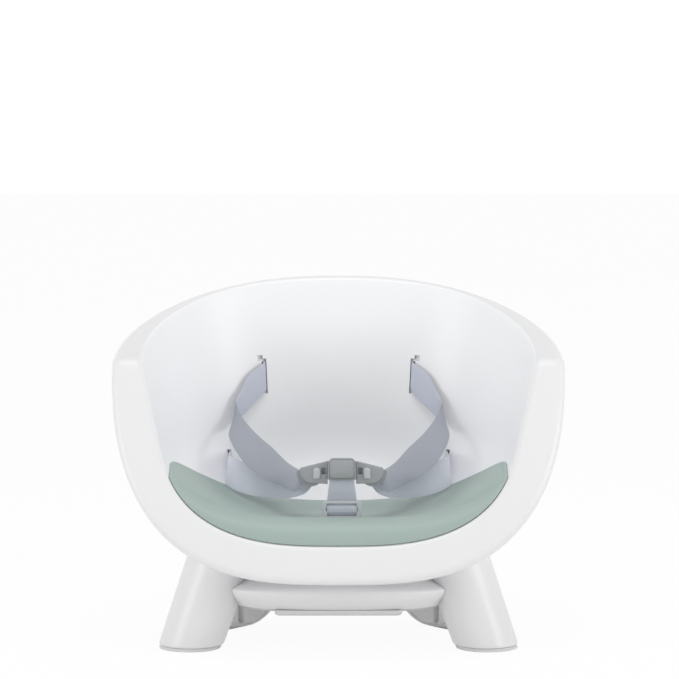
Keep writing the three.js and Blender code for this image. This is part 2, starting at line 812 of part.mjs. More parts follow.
// The rear foot is hollow from below, with a panel let into its front between a raised rim.
function rearFoot(side) {
  const reach = 100;
  const panelY = rearFootY - rearFootHalfDepth + rearPanelDepth;
  const grooveY = panelY + rearGrooveDepth;
  const place = screwPlaces.find((p) => Math.sign(p.x) === side && p.y > 0);
  const outside = rearHaunch(side, 0, footBottom, footTop).subtract(bowlRoom);
  const slab = (from, to) => block(4 * reach, to - from, 4 * reach, 0, (from + to) / 2, 0);
  const room = rearHaunch(side, -footWall, -5, footCeiling);
  const hollow = room.intersect(slab(grooveY + footWall, grooveY + reach));
  const frame = rearHaunch(side, -footWall, footBottom + footWall, footCeiling);
  const window = frame.add(frame.translate([0, -rearPanelDepth, 0]));
  const recess = window.intersect(slab(panelY - reach, panelY));
  const groove = block(
    rearGrooveWidth, rearGrooveDepth + 1, reach,
    side * rearGrooveX, grooveY - (rearGrooveDepth + 1) / 2, reach / 2 + footBottom + 2 * footWall,
  ).intersect(rearHaunch(side, -footWall, footBottom + 2 * footWall, footCeiling));
  return outside.subtract(hollow).subtract(recess).subtract(groove).subtract(screwRod(place));
}

function screwRod({ x, y }) {
  return rod(screwHole, vec(x, y, 0), vec(x, y, footTop), 12);
}

function footPad(side, rear) {
  const cone = rear ? rearHaunch : footCone;
  const sole = cone(side, -footPadInset, 0, footPadThickness - seatGap);
  const bore = cone(side, -footWall - seatGap, -5, footCeiling);
  const low = footPadThickness - 1;
  const reach = 400;
  const hollowY = rearFootY - rearFootHalfDepth + rearPanelDepth + rearGrooveDepth + footWall;
  const front = rear ? hollowY + seatGap : -reach;
  const size = [reach, 2 * reach, footPadPlug + 1];
  return sole.add(bore.intersect(block(...size, 0, front + reach, low + size[2] / 2)));
}

for (const [word, side] of [["left", -1], ["right", 1]]) {
  addPiece("front_foot_" + word, largest(frontFoot(side)), white);
  addPiece("rear_foot_" + word, largest(rearFoot(side)), white);
  addPiece("front_foot_pad_" + word, footPad(side, false), rubber);
  addPiece("rear_foot_pad_" + word, footPad(side, true), rubber);
}

// Hub and its underside cover

// Height, then the inset at the sides and at the front, and the power of the ring there.
const hubProfile = [
  [hubBottom, 15, 13, 3.5], [39, 10.5, 8, 3.5], [43, 5.6, 3.6, 3.5], [47.5, 1.8, 0.9, 3.5],
  [52, 0, 0, 3.5], [55.5, 4.4, 0.8, 3], [59, 10.7, 3.4, 2.5], [64, 14, 7, 2.5], [70, 17, 12, 2.5],
];
const hubRoomProfile = [
  [hubBottom - 5, 19, 17, 3.5], [40, 14, 12, 3.5], [46, 7, 6, 3.5], [52, 3.6, 3.6, 3.4],
  [59, 15, 8, 2.5], [68, 21, 15, 2.5],
];
const coverScrewX = hubHalfWidth - coverScrewInset;
const coverScrewFrontY = hubMiddleY - hubReach + 46;
const coverScrewRearY = hubMiddleY + hubReach - 40;
const coverScrews = [coverScrewFrontY, coverScrewRearY].flatMap((y) => [
  [-coverScrewX, y], [coverScrewX, y],
]);

function hubRing(z, inset, frontInset = inset, power = hubPower) {
  const across = hubHalfWidth - inset;
  return ellipseRing(0, hubMiddleY, z, across, hubReach - frontInset, 36, power);
}

const hubLoft = (profile) => solidOf(loft(profile.map((row) => hubRing(...row))));

// The feet with a margin all round, as one body on each side.
function feetRoom(side, margin) {
  return footCone(side, margin, -5, footTop).add(rearHaunch(side, margin, -5, footTop));
}

function hub() {
  let room = hubLoft(hubRoomProfile).subtract(roomOf(moved(outerFace, seatGap + hubWall), 1));
  let solid = hubLoft(hubProfile).subtract(bowlRoom);
  for (const side of [-1, 1]) room = room.subtract(feetRoom(side, seatGap + hubWall));
  for (const [x, y] of coverScrews) {
    room = room.subtract(rod(coverBoss, vec(x, y, hubBottom), vec(x, y, lipUnderside), 14));
  }
  solid = solid.subtract(room);
  for (const side of [-1, 1]) solid = solid.subtract(feetRoom(side, seatGap));
  for (const [x, y] of coverScrews) {
    solid = solid.subtract(rod(coverScrewHole, vec(x, y, 0), vec(x, y, hubBottom + 14), 10));
  }
  return largest(solid);
}

function hubCover() {
  const top = hubBottom - seatGap;
  const sheet = solidOf(loft([hubRing(top - coverThickness, 17), hubRing(top, 16)]));
  const lip = plate(coverLipWidth, coverLipDepth, coverLipDrop, 6).rotateX(Math.PI / 2);
  const lipY = hubMiddleY - hubReach + 10 + coverLipDepth / 2;
  const tab = solidOf(lip.translate(0, lipY, top - coverLipDrop / 2));
  let solid = sheet.add(tab.intersect(solidOf(loft([hubRing(10, 11), hubRing(40, 6)]))));
  for (const side of [-1, 1]) solid = solid.subtract(feetRoom(side, seatGap));
  for (const [x, y] of coverScrews) {
    solid = solid.subtract(rod(coverScrewHole, vec(x, y, 0), vec(x, y, hubBottom), 10));
  }
  return largest(solid);
}

addPiece("base_hub", hub(), white);
addPiece("base_cover", hubCover(), white);

// Screws

for (const { name, x, y } of screwPlaces) {
  const seat = footCeiling - seatGap;
  const head = rod(screwHead, vec(x, y, seat - 2.4), vec(x, y, seat), 14);
  const stem = rod(screwRadius, vec(x, y, seat - 1), vec(x, y, footCeiling + screwDepth - 3), 10);
  addPiece("foot_screw_" + name, head.add(stem), steel);
}
coverScrews.forEach(([x, y], k) => {
  const seat = hubBottom - 2 * seatGap - coverThickness;
  const head = rod(coverScrewHead, vec(x, y, seat - 1.8), vec(x, y, seat), 12);
  const stem = rod(coverScrewRadius, vec(x, y, seat - 1), vec(x, y, hubBottom + 12), 8);
  addPiece("cover_screw_" + (k + 1), head.add(stem), steel);
});

// Harness. A strap's two edges run through pairs of points; `out` is measured from the middle.

function ribbon(pairs, steps, margin = 0, beyond = 0) {
  const hem = foldThickness / 2 - webbingThickness / 2;
  const edgeA = new THREE.CatmullRomCurve3(pairs.map((pair) => pair[0]), false, "centripetal");
  const edgeB = new THREE.CatmullRomCurve3(pairs.map((pair) => pair[1]), false, "centripetal");
  const rings = [];
  const ringAt = (t, onwards, swell = 0) => {
    const a = edgeA.getPoint(t);
    const b = edgeB.getPoint(t);
    const along = edgeA.getTangent(t).add(edgeB.getTangent(t)).normalize();
    const across = b.clone().sub(a).normalize();
    const normal = along.clone().cross(across).normalize();
    normal.multiplyScalar(webbingThickness / 2 + margin + swell);
    a.addScaledVector(across, -margin).addScaledVector(along, onwards);
    b.addScaledVector(across, margin).addScaledVector(along, onwards);
    const near = [a.clone().add(normal), b.clone().add(normal)];
    rings.push([...near, b.clone().sub(normal), a.clone().sub(normal)]);
  };
  ringAt(0, -foldLength / 2, hem);
  ringAt(0, foldLength / 2, hem);
  ringAt(0, foldLength / 2);
  for (let i = 1; i <= steps; i += 1) ringAt(i / steps, 0);
  if (beyond > 0) ringAt(1, beyond);
  return solidOf(loft(rings));
}

// A strap's rows: how near the buckle, then its upper and its lower edge, each measured outwards,
// back and up from the line between the strap's slot and the buckle.
function strapPairs(side, frame, rows) {
  const slot = vec(0, 0, 0).setFromMatrixPosition(frame);
  slot.x *= side;
  const buckle = vec(0, harnessY, buckleMiddle);
  return rows.map(([near, ...edges]) =>
    edges.map((edge) => {
      const point = slot.clone().lerp(buckle, near).add(vec(...edge));
      return vec(harnessX * near + side * point.x, point.y, point.z);
    }),
  );
}

const inFrame = (frame, x, y, z) => vec(x, y, z).applyMatrix4(frame);

// The first pairs of a strap, through its slot, and the stitched fold behind the anchor plate.
function slotPairs(frame) {
  const half = webbingWidth / 2;
  return [foldDepth, -1.5].map((y) => [inFrame(frame, 0, y, half), inFrame(frame, 0, y, -half)]);
}

function anchorPlate(frame) {
  const y = wall + anchorGap + anchorThickness / 2;
  const sheet = plate(anchorWidth, anchorHeight, anchorThickness, 3).translate(0, y, 0);
  const slot = new THREE.BoxGeometry(webbingThickness + 1, 10, webbingWidth + 1).translate(0, y, 0);
  return solidOf(sheet.applyMatrix4(frame)).subtract(solidOf(slot.applyMatrix4(frame)));
}

const shoulderPath = [
  [0, [13.5, -10.3, 2], [8.5, -12.5, -22]],
  [0.05, [23.8, -8.7, -7.1], [22.8, -12.7, -30.1]],
  [0.1, [31, -8.7, -13.2], [34.6, -13.7, -36.2]],
  [0.2, [33.6, -2.7, -18.4], [44.1, -18.7, -33.4]],
  [0.4, [34.3, 2.2, -18.8], [52.7, -11.8, -29.8]],
  [0.6, [32.5, 6.1, -16.3], [55.3, -1.9, -29.3]],
  [0.8, [33.7, 10.1, -12.2], [53.9, 8.1, -25.2]],
  [0.95, [34.2, 11, -6], [49.7, 20, -21]],
  [1, [32.6, 10.5, -3.1], [40.6, 12.5, -21.1]],
];
const lapPath = [
  [0, [3.8, -17.7, 12.3], [0.7, -21.7, -11.4]],
  [0.05, [7.6, -29.6, 11], [11.2, -33.6, -11.8]],
  [0.1, [2.4, -39.5, 8.9], [9, -41.5, -15.4]],
  [0.3, [7.7, -29.2, 3.7], [12.1, -34.2, -21]],
  [0.5, [12.1, -15.8, -0.1], [14.7, -19.8, -24.3]],
  [0.7, [16.5, -3.5, -3.3], [17.9, -8.5, -25.8]],
  [0.9, [23.8, 12.8, -3.5], [22.4, 6.8, -23]],
  [1, [26, 16, 0.9], [25.6, 14, -17.6]],
];
const lapPocketOut = 20;
const lapTipOut = 13.6;

// The last pairs of a lap strap, in the pocket of its tongue.
function lapEnd(side) {
  return [lapPocketOut, lapTipOut].map((out) =>
    [lapEndWidth / 2, -lapEndWidth / 2].map((rise) =>
      vec(harnessX + side * out, lapPocketY, lapEndZ + rise),
    ),
  );
}

// A flat outline in X and Z between two depths in Y.
function sheetOf(outline, front, back) {
  const shape = new THREE.Shape(outline.map(([x, z]) => new THREE.Vector2(x, z)));
  const geometry = new THREE.ExtrudeGeometry(shape, { depth: back - front, bevelEnabled: false });
  return solidOf(geometry.rotateX(Math.PI / 2).translate(0, back, 0));
}

function tongue(side) {
  const x = (out) => harnessX + side * out;
  const inner = buckleWidth / 2 + seatGap;
  const outline = [[inner, tongueLow]];
  for (let i = 0; i <= 6; i += 1) {
    const angle = degrees(mix(-90, 0, i / 6));
    outline.push([
      tongueReach - tongueCorner * (1 - Math.cos(angle)),
      tongueLow + tongueCorner * (1 + Math.sin(angle)),
    ]);
  }
  outline.push([tongueReach, tongueOuterTop - 1], [tongueReach - 0.8, tongueOuterTop]);
  outline.push([inner, tongueTop]);
  const front = tongueY - tongueThickness / 2;
  const back = tongueY + tongueThickness / 2;
  const sheet = sheetOf(outline.map(([out, z]) => [x(out), z]), front, back);
  const prongLength = inner + 1 - prongReach;
  const prongX = x(prongReach + prongLength / 2);
  const prong = block(prongLength, prongThickness, prongHeight, prongX, tongueY, buckleMiddle);
  const postX = x(postOut);
  const postEnd = back + clipThickness + 3 * seatGap;
  const post = rod(postRadius, vec(postX, front - 1.4, postZ), vec(postX, postEnd, postZ), 20);
  const lugDepth = lapPocketY + 2 - back + 1;
  const lugY = back - 1 + lugDepth / 2;
  const lug = block(lugWidth, lugDepth, lapEndWidth + 3, x(inner + lugWidth / 2), lugY, lapEndZ);
  const pocket = block(
    10, webbingThickness + 2 * seatGap, lapEndWidth + 2 * seatGap,
    x(inner + 1.2 + 5), lapPocketY, lapEndZ,
  );
  return sheet.add(prong).add(post).add(lug.subtract(pocket));
}

// The clip is a disc on the tongue's post, with a sleeve behind it for the strap's end.
function shoulderClip(side, lastPair, strapRoom) {
  const x = (out) => harnessX + side * out;
  const front = tongueY + tongueThickness / 2 + seatGap;
  const outline = [];
  for (let i = 0; i <= 14; i += 1) {
    const angle = degrees(mix(-125, 8, i / 14));
    outline.push([
      x(clipOut + clipRadius * Math.cos(angle)), clipZ + clipRadius * Math.sin(angle),
    ]);
  }
  const rim = postRadius + clipHoleWall;
  outline.push([x(postOut + rim), postZ + 0.7 * rim], [x(postOut), postZ + 0.9 * rim]);
  outline.push([x(postOut - rim), postZ + 0.4 * rim], [x(postOut - rim), postZ - 0.7 * rim]);
  const sheet = sheetOf(outline, front, front + clipThickness);
  const [from, to] = [vec(x(postOut), -100, postZ), vec(x(postOut), 0, postZ)];
  const hole = rod(postRadius + seatGap, from, to, 20);
  const [a, b] = lastPair;
  const along = b.clone().sub(a).normalize();
  const middle = a.clone().add(b).multiplyScalar(0.5);
  const top = a.clone().addScaledVector(along, -2);
  const bottom = b.clone().addScaledVector(along, 2);
  const grip = rod(sleeveRadius, top, bottom, 12);
  const reach = middle.y - front;
  const bridge = block(6, reach, 15, middle.x - side * 1.5, front + reach / 2, middle.z + 1.5);
  return largest(sheet.add(grip).add(bridge).subtract(hole).subtract(strapRoom));
}

for (const [word, side] of [["left", -1], ["right", 1]]) {
  const shoulderFrame = shoulderFrames[word];
  const lapFrame = lapFrames[word];
  const shoulder = [...slotPairs(shoulderFrame), ...strapPairs(side, shoulderFrame, shoulderPath)];
  const lap = [...slotPairs(lapFrame), ...strapPairs(side, lapFrame, lapPath), ...lapEnd(side)];
  const strapRoom = ribbon(shoulder, 26, seatGap, 2);
  addPiece("tongue_" + word, tongue(side), grey);
  addPiece("shoulder_clip_" + word, shoulderClip(side, shoulder.at(-1), strapRoom), grey);
  addPiece("shoulder_strap_" + word, ribbon(shoulder, 26), webbing);
  addPiece("lap_strap_" + word, ribbon(lap, 20), webbing);
  addPiece("shoulder_anchor_" + word, anchorPlate(shoulderFrame), steel);
  addPiece("lap_anchor_" + word, anchorPlate(lapFrame), steel);
}

// Buckle

function buckleHousing() {
  const height = buckleTop - buckleBottom;
  const body = plate(buckleWidth, height, buckleDepth, 3.4, 0.7);
  const slotSize = [60, prongThickness + 2 * seatGap, prongHeight + 2 * seatGap];
  const pocketDepth = buckleDepth / 2 + 10;
  const buttonRoom = [buttonWidth + 2 * seatGap, pocketDepth, buttonHeight + 2 * seatGap];
  const pocketY = harnessY - pocketDepth / 2;
  const strapSize = [webbingEndWidth + 2 * seatGap, webbingThickness + 2 * seatGap, 10];
  return solidOf(body.translate(harnessX, harnessY, buckleMiddle))
    .subtract(block(...slotSize, harnessX, tongueY, buckleMiddle))
    .subtract(block(...buttonRoom, harnessX, pocketY, buckleMiddle))
    .subtract(block(...strapSize, harnessX, harnessY, buckleBottom + strapGrip - 5));
}

const buttonBack = harnessY - buckleDepth / 2 - buttonProud + buttonDepth;

function button() {
  const middleY = buttonBack - buttonDepth / 2;
  const body = plate(buttonWidth, buttonHeight, buttonDepth, 2.6, 0.5);
  const radius = (buttonHeight ** 2 / 4 + buttonBulge ** 2) / (2 * buttonBulge);
  const axisY = buttonBack - buttonDepth + radius;
  const [from, to] = [harnessX - buttonWidth, harnessX + buttonWidth];
  const curve = rod(radius, vec(from, axisY, buckleMiddle), vec(to, axisY, buckleMiddle), 96);
  return solidOf(body.translate(harnessX, middleY, buckleMiddle)).intersect(curve);
}

function buttonSpring() {
  const back = tongueY + prongThickness / 2;
  const points = [];
  const turns = 3.5;
  const [low, high] = [buttonBack + springWire + 0.2, back - springWire - 0.2];
  for (let i = 0; i <= turns * 8; i += 1) {
    const angle = (i / 8) * Math.PI * 2;
    const y = mix(low, high, i / (turns * 8));
    const [dx, dz] = [springRadius * Math.cos(angle), springRadius * Math.sin(angle)];
    points.push(vec(harnessX + dx, y, buckleMiddle + dz));
  }
  const line = new THREE.CatmullRomCurve3(points);
  const wire = new THREE.Shape();
  wire.absarc(0, 0, springWire, 0, Math.PI * 2);
  return new THREE.ExtrudeGeometry(wire, {
    steps: turns * 8, curveSegments: 3, extrudePath: line, bevelEnabled: false,
  });
}

addPiece("buckle_housing", buckleHousing(), grey);
addPiece("buckle_button", button(), grey);
addPiece("button_spring", solidOf(buttonSpring()), steel);

// Crotch strap, with its slider

function crotchPair(y, z, width) {
  return [vec(harnessX - width / 2, y, z), vec(harnessX + width / 2, y, z)];
}

function crotchStrap() {
  const back = harnessY + 1.4;
  const pairs = [
    crotchPair(harnessY, crotchFoldZ, webbingWidth),
    crotchPair(harnessY, crotchRunZ, webbingWidth),
    crotchPair(back, sliderZ - sliderLead, webbingWidth),
    crotchPair(harnessY - 0.4, sliderZ - 4, webbingWidth),
    crotchPair(harnessY - 2.2, sliderZ - 1.7, webbingWidth),
    crotchPair(harnessY - 2.2, sliderZ + 1.7, webbingWidth),
    crotchPair(harnessY - 0.4, sliderZ + 4, webbingWidth),
    crotchPair(back, sliderZ + sliderLead, webbingWidth),
    crotchPair(harnessY, buckleBottom - crotchTaper, crotchTaperWidth),
    crotchPair(harnessY, buckleBottom - 2, webbingEndWidth),
    crotchPair(harnessY, buckleBottom + strapGrip - seatGap, webbingEndWidth),
  ];
  return ribbon(pairs, 36);
}

function crotchSlider() {
  const window = [webbingWidth + 1.8, 10, sliderHeight - 2 * sliderRail];
  const behind = [webbingWidth + 1.8, 4, sliderHeight + 2];
  const front = harnessY - 1.3;
  const ring = plate(sliderWidth, sliderHeight, sliderDepth, 4, 0.6);
  const bar = block(webbingWidth + 3, 1, sliderBar, harnessX, harnessY - 0.3, sliderZ);
  return solidOf(ring.translate(harnessX, front, sliderZ))
    .subtract(block(...window, harnessX, front, sliderZ))
    .subtract(block(...behind, harnessX, harnessY - 0.6 + 2, sliderZ))
    .add(bar);
}

function crotchAnchor() {
  const z = seatFloorHeight - wall - anchorGap - anchorThickness / 2;
  const width = crotchSlotWidth + crotchAnchorOverhang;
  const bar = block(width, crotchAnchorDepth, anchorThickness, harnessX, harnessY, z);
  const slotSize = [webbingWidth + 1, webbingThickness + 1, 10];
  return bar.subtract(block(...slotSize, harnessX, harnessY, z));
}

addPiece("crotch_strap", crotchStrap(), webbing);
addPiece("crotch_slider", crotchSlider(), grey);
addPiece("crotch_anchor", crotchAnchor(), steel);

export default group;
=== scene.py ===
"""A child's moulded booster seat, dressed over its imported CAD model.

+Z is up and the front faces -Y. Sizes are in millimetres, the camera, lamps and floor in metres.
"""
import json
from bisect import bisect_right
from collections import namedtuple
from contextlib import contextmanager
from functools import lru_cache
from math import acos, atan, atan2, copysign, cos, degrees, pi, radians, sin, sqrt, tau
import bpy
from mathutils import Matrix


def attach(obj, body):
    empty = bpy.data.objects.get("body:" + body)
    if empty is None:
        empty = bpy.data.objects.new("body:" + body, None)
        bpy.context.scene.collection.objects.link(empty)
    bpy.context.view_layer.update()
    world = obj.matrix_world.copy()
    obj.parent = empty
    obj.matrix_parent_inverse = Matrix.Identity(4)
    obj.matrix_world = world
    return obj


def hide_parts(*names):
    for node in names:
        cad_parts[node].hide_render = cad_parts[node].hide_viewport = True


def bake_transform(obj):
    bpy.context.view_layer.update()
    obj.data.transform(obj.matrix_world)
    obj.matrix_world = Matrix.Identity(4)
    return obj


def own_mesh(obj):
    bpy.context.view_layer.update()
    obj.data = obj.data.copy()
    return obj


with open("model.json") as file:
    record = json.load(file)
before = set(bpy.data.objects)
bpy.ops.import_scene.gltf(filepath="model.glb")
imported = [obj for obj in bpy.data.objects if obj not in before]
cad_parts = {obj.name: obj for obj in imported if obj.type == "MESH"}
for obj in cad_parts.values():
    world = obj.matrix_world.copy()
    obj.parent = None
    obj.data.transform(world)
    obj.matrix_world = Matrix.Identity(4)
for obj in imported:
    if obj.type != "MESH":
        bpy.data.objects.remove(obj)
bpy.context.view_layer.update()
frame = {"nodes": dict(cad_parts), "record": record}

import bmesh
import bpy
from mathutils import Matrix, Vector

MM = 0.001

# The bowl's sizes, as in the CAD source

OVERALL_DEPTH, OVERALL_HEIGHT = 280, 298
ARM_HEIGHT, ARM_FRONT_Y, ARM_CORNER = 246.5, -74, 8.5
SIDE_POWER, FLOOR_POWER = 3, 2.28
BODY_Y, POLE_Y = -46, -30
FRONT_SWEEP, RIM_RISE = 1.2, 1.6
WALL, SEAM_DROP, SEAM_GAP, GAP = 2.6, 14, 0.4, 0.3
OUTER_RIM, INNER_RIM = 9, 5
Face = namedtuple("Face", "half lean low wide reach recline power lip")
OUTER = Face(190, 0, 64, 235, 165.174, 0.089, 2.2, -141.8)
INNER = Face(129.4, 0.245, 96.3, 168, 144.674, 0.153, 2.4, -131.8)
TURN_SHARE, RIM_SHARE, SLOPE_STEP = 0.7, 0.45, 1.5

# How finely the bowl is divided

FRONT_STEPS, CORNER_STEPS, ARM_STEPS, ARC_STEPS = 56, 7, 6, 52
CURVE_STEPS, CHEEK_STEPS, OUTER_RIM_STEPS, INNER_RIM_STEPS = 240, 60, 7, 6
ARC_ROUNDS, HEIGHT_HALVINGS, PAD_HALVINGS = 12, 22, 30


def mix(a, b, t):
    return a + (b - a) * t


def clamp(v, low=0.0, high=1.0):
    return max(low, min(high, v))


def bend(a, b, c, t):
    """A point of the curve from a to c that b draws to itself."""
    return a.lerp(b, t).lerp(b.lerp(c, t), t)


def bends(a, b, c, steps):
    return [bend(a, b, c, t / steps) for t in range(steps + 1)]


def moved(face, by):
    """The same face of the bowl, a distance further out."""
    return face._replace(half=face.half + by, low=face.low - by, reach=face.reach + by)


def width_at(face, share, z):
    return face.half * share + face.lean * (z - face.low)


def reach_at(face, share, z):
    return face.reach * share + face.recline * (z - face.low)


def floor_height(face, share):
    fall = max(0.0, 1 - share**SIDE_POWER) ** (1 / FLOOR_POWER)
    return face.wide - (face.wide - face.low) * fall


def floor_share(face, z):
    fall = clamp((face.wide - z) / (face.wide - face.low))
    return (1 - fall**FLOOR_POWER) ** (1 / SIDE_POWER)


def front_line(face, z):
    climb = max(0.0, (z - face.low) / (ARM_HEIGHT - face.low))
    return mix(face.lip, ARM_FRONT_Y, climb**FRONT_SWEEP)


def rim_height(y):
    run = clamp((y - ARM_FRONT_Y) / (OVERALL_DEPTH / 2 - ARM_FRONT_Y))
    return mix(ARM_HEIGHT, OVERALL_HEIGHT, run**RIM_RISE)


@lru_cache
def front_curve(face):
    """The front edge from the middle up to the arm, with the length run at each point."""
    points = []
    for i in range(CURVE_STEPS + 1):
        share = sin(i / CURVE_STEPS * pi / 2) ** (2 / SIDE_POWER)
        z = floor_height(face, min(1.0, share))
        points.append(Vector((width_at(face, share, z), front_line(face, z), z)))
    top = ARM_HEIGHT - ARM_CORNER
    for i in range(1, CHEEK_STEPS + 1):
        z = mix(face.wide, top, i / CHEEK_STEPS)
        points.append(Vector((width_at(face, 1, z), front_line(face, z), z)))
    lengths = [0.0]
    for a, b in zip(points, points[1:]):
        lengths.append(lengths[-1] + (b - a).length)
    return points, lengths


def along_front(face, share):
    points, lengths = front_curve(face)
    want = share * lengths[-1]
    high = min(bisect_right(lengths, want), len(points) - 1)
    part = (want - lengths[high - 1]) / max(1e-9, lengths[high] - lengths[high - 1])
    return points[high - 1].lerp(points[high], clamp(part))


# Places along the right half of the edge, from the middle of the front to the middle of the back

STATIONS = [("front", i / FRONT_STEPS) for i in range(FRONT_STEPS + 1)]
STATIONS += [("corner", i / (CORNER_STEPS + 1)) for i in range(1, CORNER_STEPS + 1)]
STATIONS += [
    ("arm", mix(ARM_FRONT_Y + ARM_CORNER, BODY_Y, i / ARM_STEPS)) for i in range(ARM_STEPS)
]
STATIONS += [("arc", pi / 2 * i / ARC_STEPS) for i in range(ARC_STEPS + 1)]


def round_plan(face, angle, share, z):
    side = max(0.0, cos(angle)) ** (2 / face.power)
    back = max(0.0, sin(angle)) ** (2 / face.power)
    middle = mix(POLE_Y, BODY_Y, share)
    y = middle + reach_at(face, share, z) * back
    return Vector((width_at(face, share, z) * side, y, z))


def arc_height(angle):
    z = ARM_HEIGHT
    for _ in range(ARC_ROUNDS):
        z = rim_height(round_plan(OUTER, angle, 1, z).y)
    return z


def edge_point(face, station):
    part, value = station
    if part == "front":
        return along_front(face, value).copy()
    if part == "corner":
        middle = Vector((width_at(face, 1, ARM_HEIGHT), ARM_FRONT_Y, ARM_HEIGHT))
        before = edge_point(face, ("front", 1))
        after = edge_point(face, ("arm", ARM_FRONT_Y + ARM_CORNER))
        return bend(before, middle, after, value)
    if part == "arm":
        z = rim_height(value)
        return Vector((width_at(face, 1, z), value, z))
    return round_plan(face, value, 1, arc_height(value))


def turn_point(face, station):
    """Where a section of the bowl turns from its upper part to its floor."""
    if station[0] == "arc":
        return round_plan(face, station[1], 1, face.wide)
    edge = edge_point(face, station)
    y = mix(edge.y, BODY_Y, TURN_SHARE)
    if edge.z < face.wide:
        return Vector((edge.x, y, edge.z))
    return Vector((width_at(face, 1, face.wide), y, face.wide))


def face_point(face, station, depth):
    """A point of a section: 0 at the edge, 1 at the turn and 2 at the pole."""
    if depth <= 1:
        return edge_point(face, station).lerp(turn_point(face, station), depth)
    share = 2 - depth
    if station[0] == "arc":
        return round_plan(face, station[1], share, floor_height(face, share))
    turn = turn_point(face, station)
    full = floor_share(face, turn.z)
    z = floor_height(face, full * share)
    return Vector((width_at(face, full * share, z), mix(POLE_Y, turn.y, share), z))


def inwards(face, station):
    return (turn_point(face, station) - edge_point(face, station)).normalized()


def full_ring(point_at):
    """Points at all stations and at their mirror images, in order."""
    right = [point_at(s) for s in STATIONS]
    right[0].x = right[-1].x = 0
    left = [Vector((-p.x, p.y, p.z)) for p in reversed(right[1:-1])]
    return right + left


def face_ring(face, depth):
    return full_ring(lambda s: face_point(face, s, depth))


def seam_ring(face, drop, share=0.0):
    """A ring a distance under the edge, and then a share of the way on to the turn."""

    def point(s):
        return (edge_point(face, s) + inwards(face, s) * drop).lerp(turn_point(face, s), share)

    return full_ring(point)


def pole(face):
    return Vector((0, POLE_Y, face.low))


def height_over(face, x, y):
    """How high the bowl's face lies over a point of the plan."""
    low, high = face.low, OVERALL_HEIGHT
    for _ in range(HEIGHT_HALVINGS):
        z = (low + high) / 2
        share = floor_share(face, z)
        middle = mix(POLE_Y, BODY_Y, share)
        across = abs(x) / max(1e-6, width_at(face, share, z))
        along = max(0.0, y - middle) / max(1e-6, reach_at(face, share, z))
        if across ** face.power + along ** face.power < 1:
            high = z
        else:
            low = z
    return high


def normal_over(face, x, y):
    step = SLOPE_STEP
    dx = (height_over(face, x + step, y) - height_over(face, x - step, y)) / (2 * step)
    dy = (height_over(face, x, y + step) - height_over(face, x, y - step)) / (2 * step)
    return Vector((-dx, -dy, 1)).normalized()


# Meshes


def linked(name, data):
    thing = bpy.data.objects.new(name, data)
    bpy.context.scene.collection.objects.link(thing)
    return thing


@contextmanager
def edited(mesh):
    work = bmesh.new()
    work.from_mesh(mesh)
    yield work
    work.to_mesh(mesh)
    work.free()


def solid(name, points, faces, uv=None):
    """A closed mesh, its faces turned out."""
    mesh = bpy.data.meshes.new(name)
    mesh.from_pydata([Vector(p) * MM for p in points], [], faces)
    if uv:
        layer = mesh.uv_layers.new(name="UVMap")
        for loop in mesh.loops:
            layer.data[loop.index].uv = uv[loop.vertex_index]
    with edited(mesh) as work:
        bmesh.ops.recalc_face_normals(work, faces=work.faces)
    return linked(name, mesh)


def smooth(thing, angle):
    """The piece shaded smooth, except along edges sharper than an angle in degrees."""
    with edited(thing.data) as work:
        for face in work.faces:
            face.smooth = True
        for edge in work.edges:
            edge.smooth = not (edge.is_manifold and edge.calc_face_angle(0) > radians(angle))
    return thing


def named(thing, name, angle):
    thing.name = thing.data.name = name
    return smooth(thing, angle)


def sides_of(ring, count):
    """The sides of a ring as pairs of point numbers."""
    return [(ring * count + k, ring * count + (k + 1) % count) for k in range(count)]


def strip(first, second, count):
    pairs = zip(sides_of(first, count), sides_of(second, count))
    return [(a, b, d, c) for (a, b), (c, d) in pairs]


def strips(rings):
    count = len(rings[0])
    return [face for r in range(len(rings) - 1) for face in strip(r, r + 1, count)]


def loft(name, rings, start=None, end=None):
    """A closed skin through rings; its ends close on a point or a flat cap."""
    points = [p for ring in rings for p in ring]
    faces = strips(rings)
    count = len(rings[0])
    for ring, tip, order in ((0, start, -1), (len(rings) - 1, end, 1)):
        if tip is None:
            faces.append([a for a, _ in sides_of(ring, count)][::order])
            continue
        faces += [(*side[::order], len(points)) for side in sides_of(ring, count)]
        points.append(tip)
    return solid(name, points, faces)


def skin(name, front, front_pole, hidden, hidden_pole):
    """A moulded skin: visible rings from its free edge to a pole, hidden ones from there back."""
    rings = front + hidden
    count = len(rings[0])
    points = [p for ring in rings for p in ring]
    faces = []
    for r in range(len(rings)):
        if r != len(front) - 1:
            faces += strip(r, (r + 1) % len(rings), count)
    for ring, tip in ((len(front) - 1, front_pole), (len(front), hidden_pole)):
        faces += [(*side, len(points)) for side in sides_of(ring, count)]
        points.append(tip)
    return solid(name, points, faces)


def cut(thing, cutter, operation="DIFFERENCE"):
    """A boolean between two pieces, which uses up the second."""
    modifier = thing.modifiers.new("cut", "BOOLEAN")
    modifier.operation = operation
    modifier.solver = "EXACT"
    modifier.object = cutter
    graph = bpy.context.evaluated_depsgraph_get()
    made = bpy.data.meshes.new_from_object(thing.evaluated_get(graph))
    thing.modifiers.clear()
    old = thing.data
    thing.data = made
    bpy.data.meshes.remove(old)
    made.name = thing.name
    bpy.data.objects.remove(cutter)
    return thing


def mirrored(thing, name):
    """The other side's copy of a piece, with its faces still turned out."""
    mesh = thing.data.copy()
    mesh.transform(Matrix.Scale(-1, 4, (1, 0, 0)))
    mesh.flip_normals()
    mesh.name = name
    return linked(name, mesh)


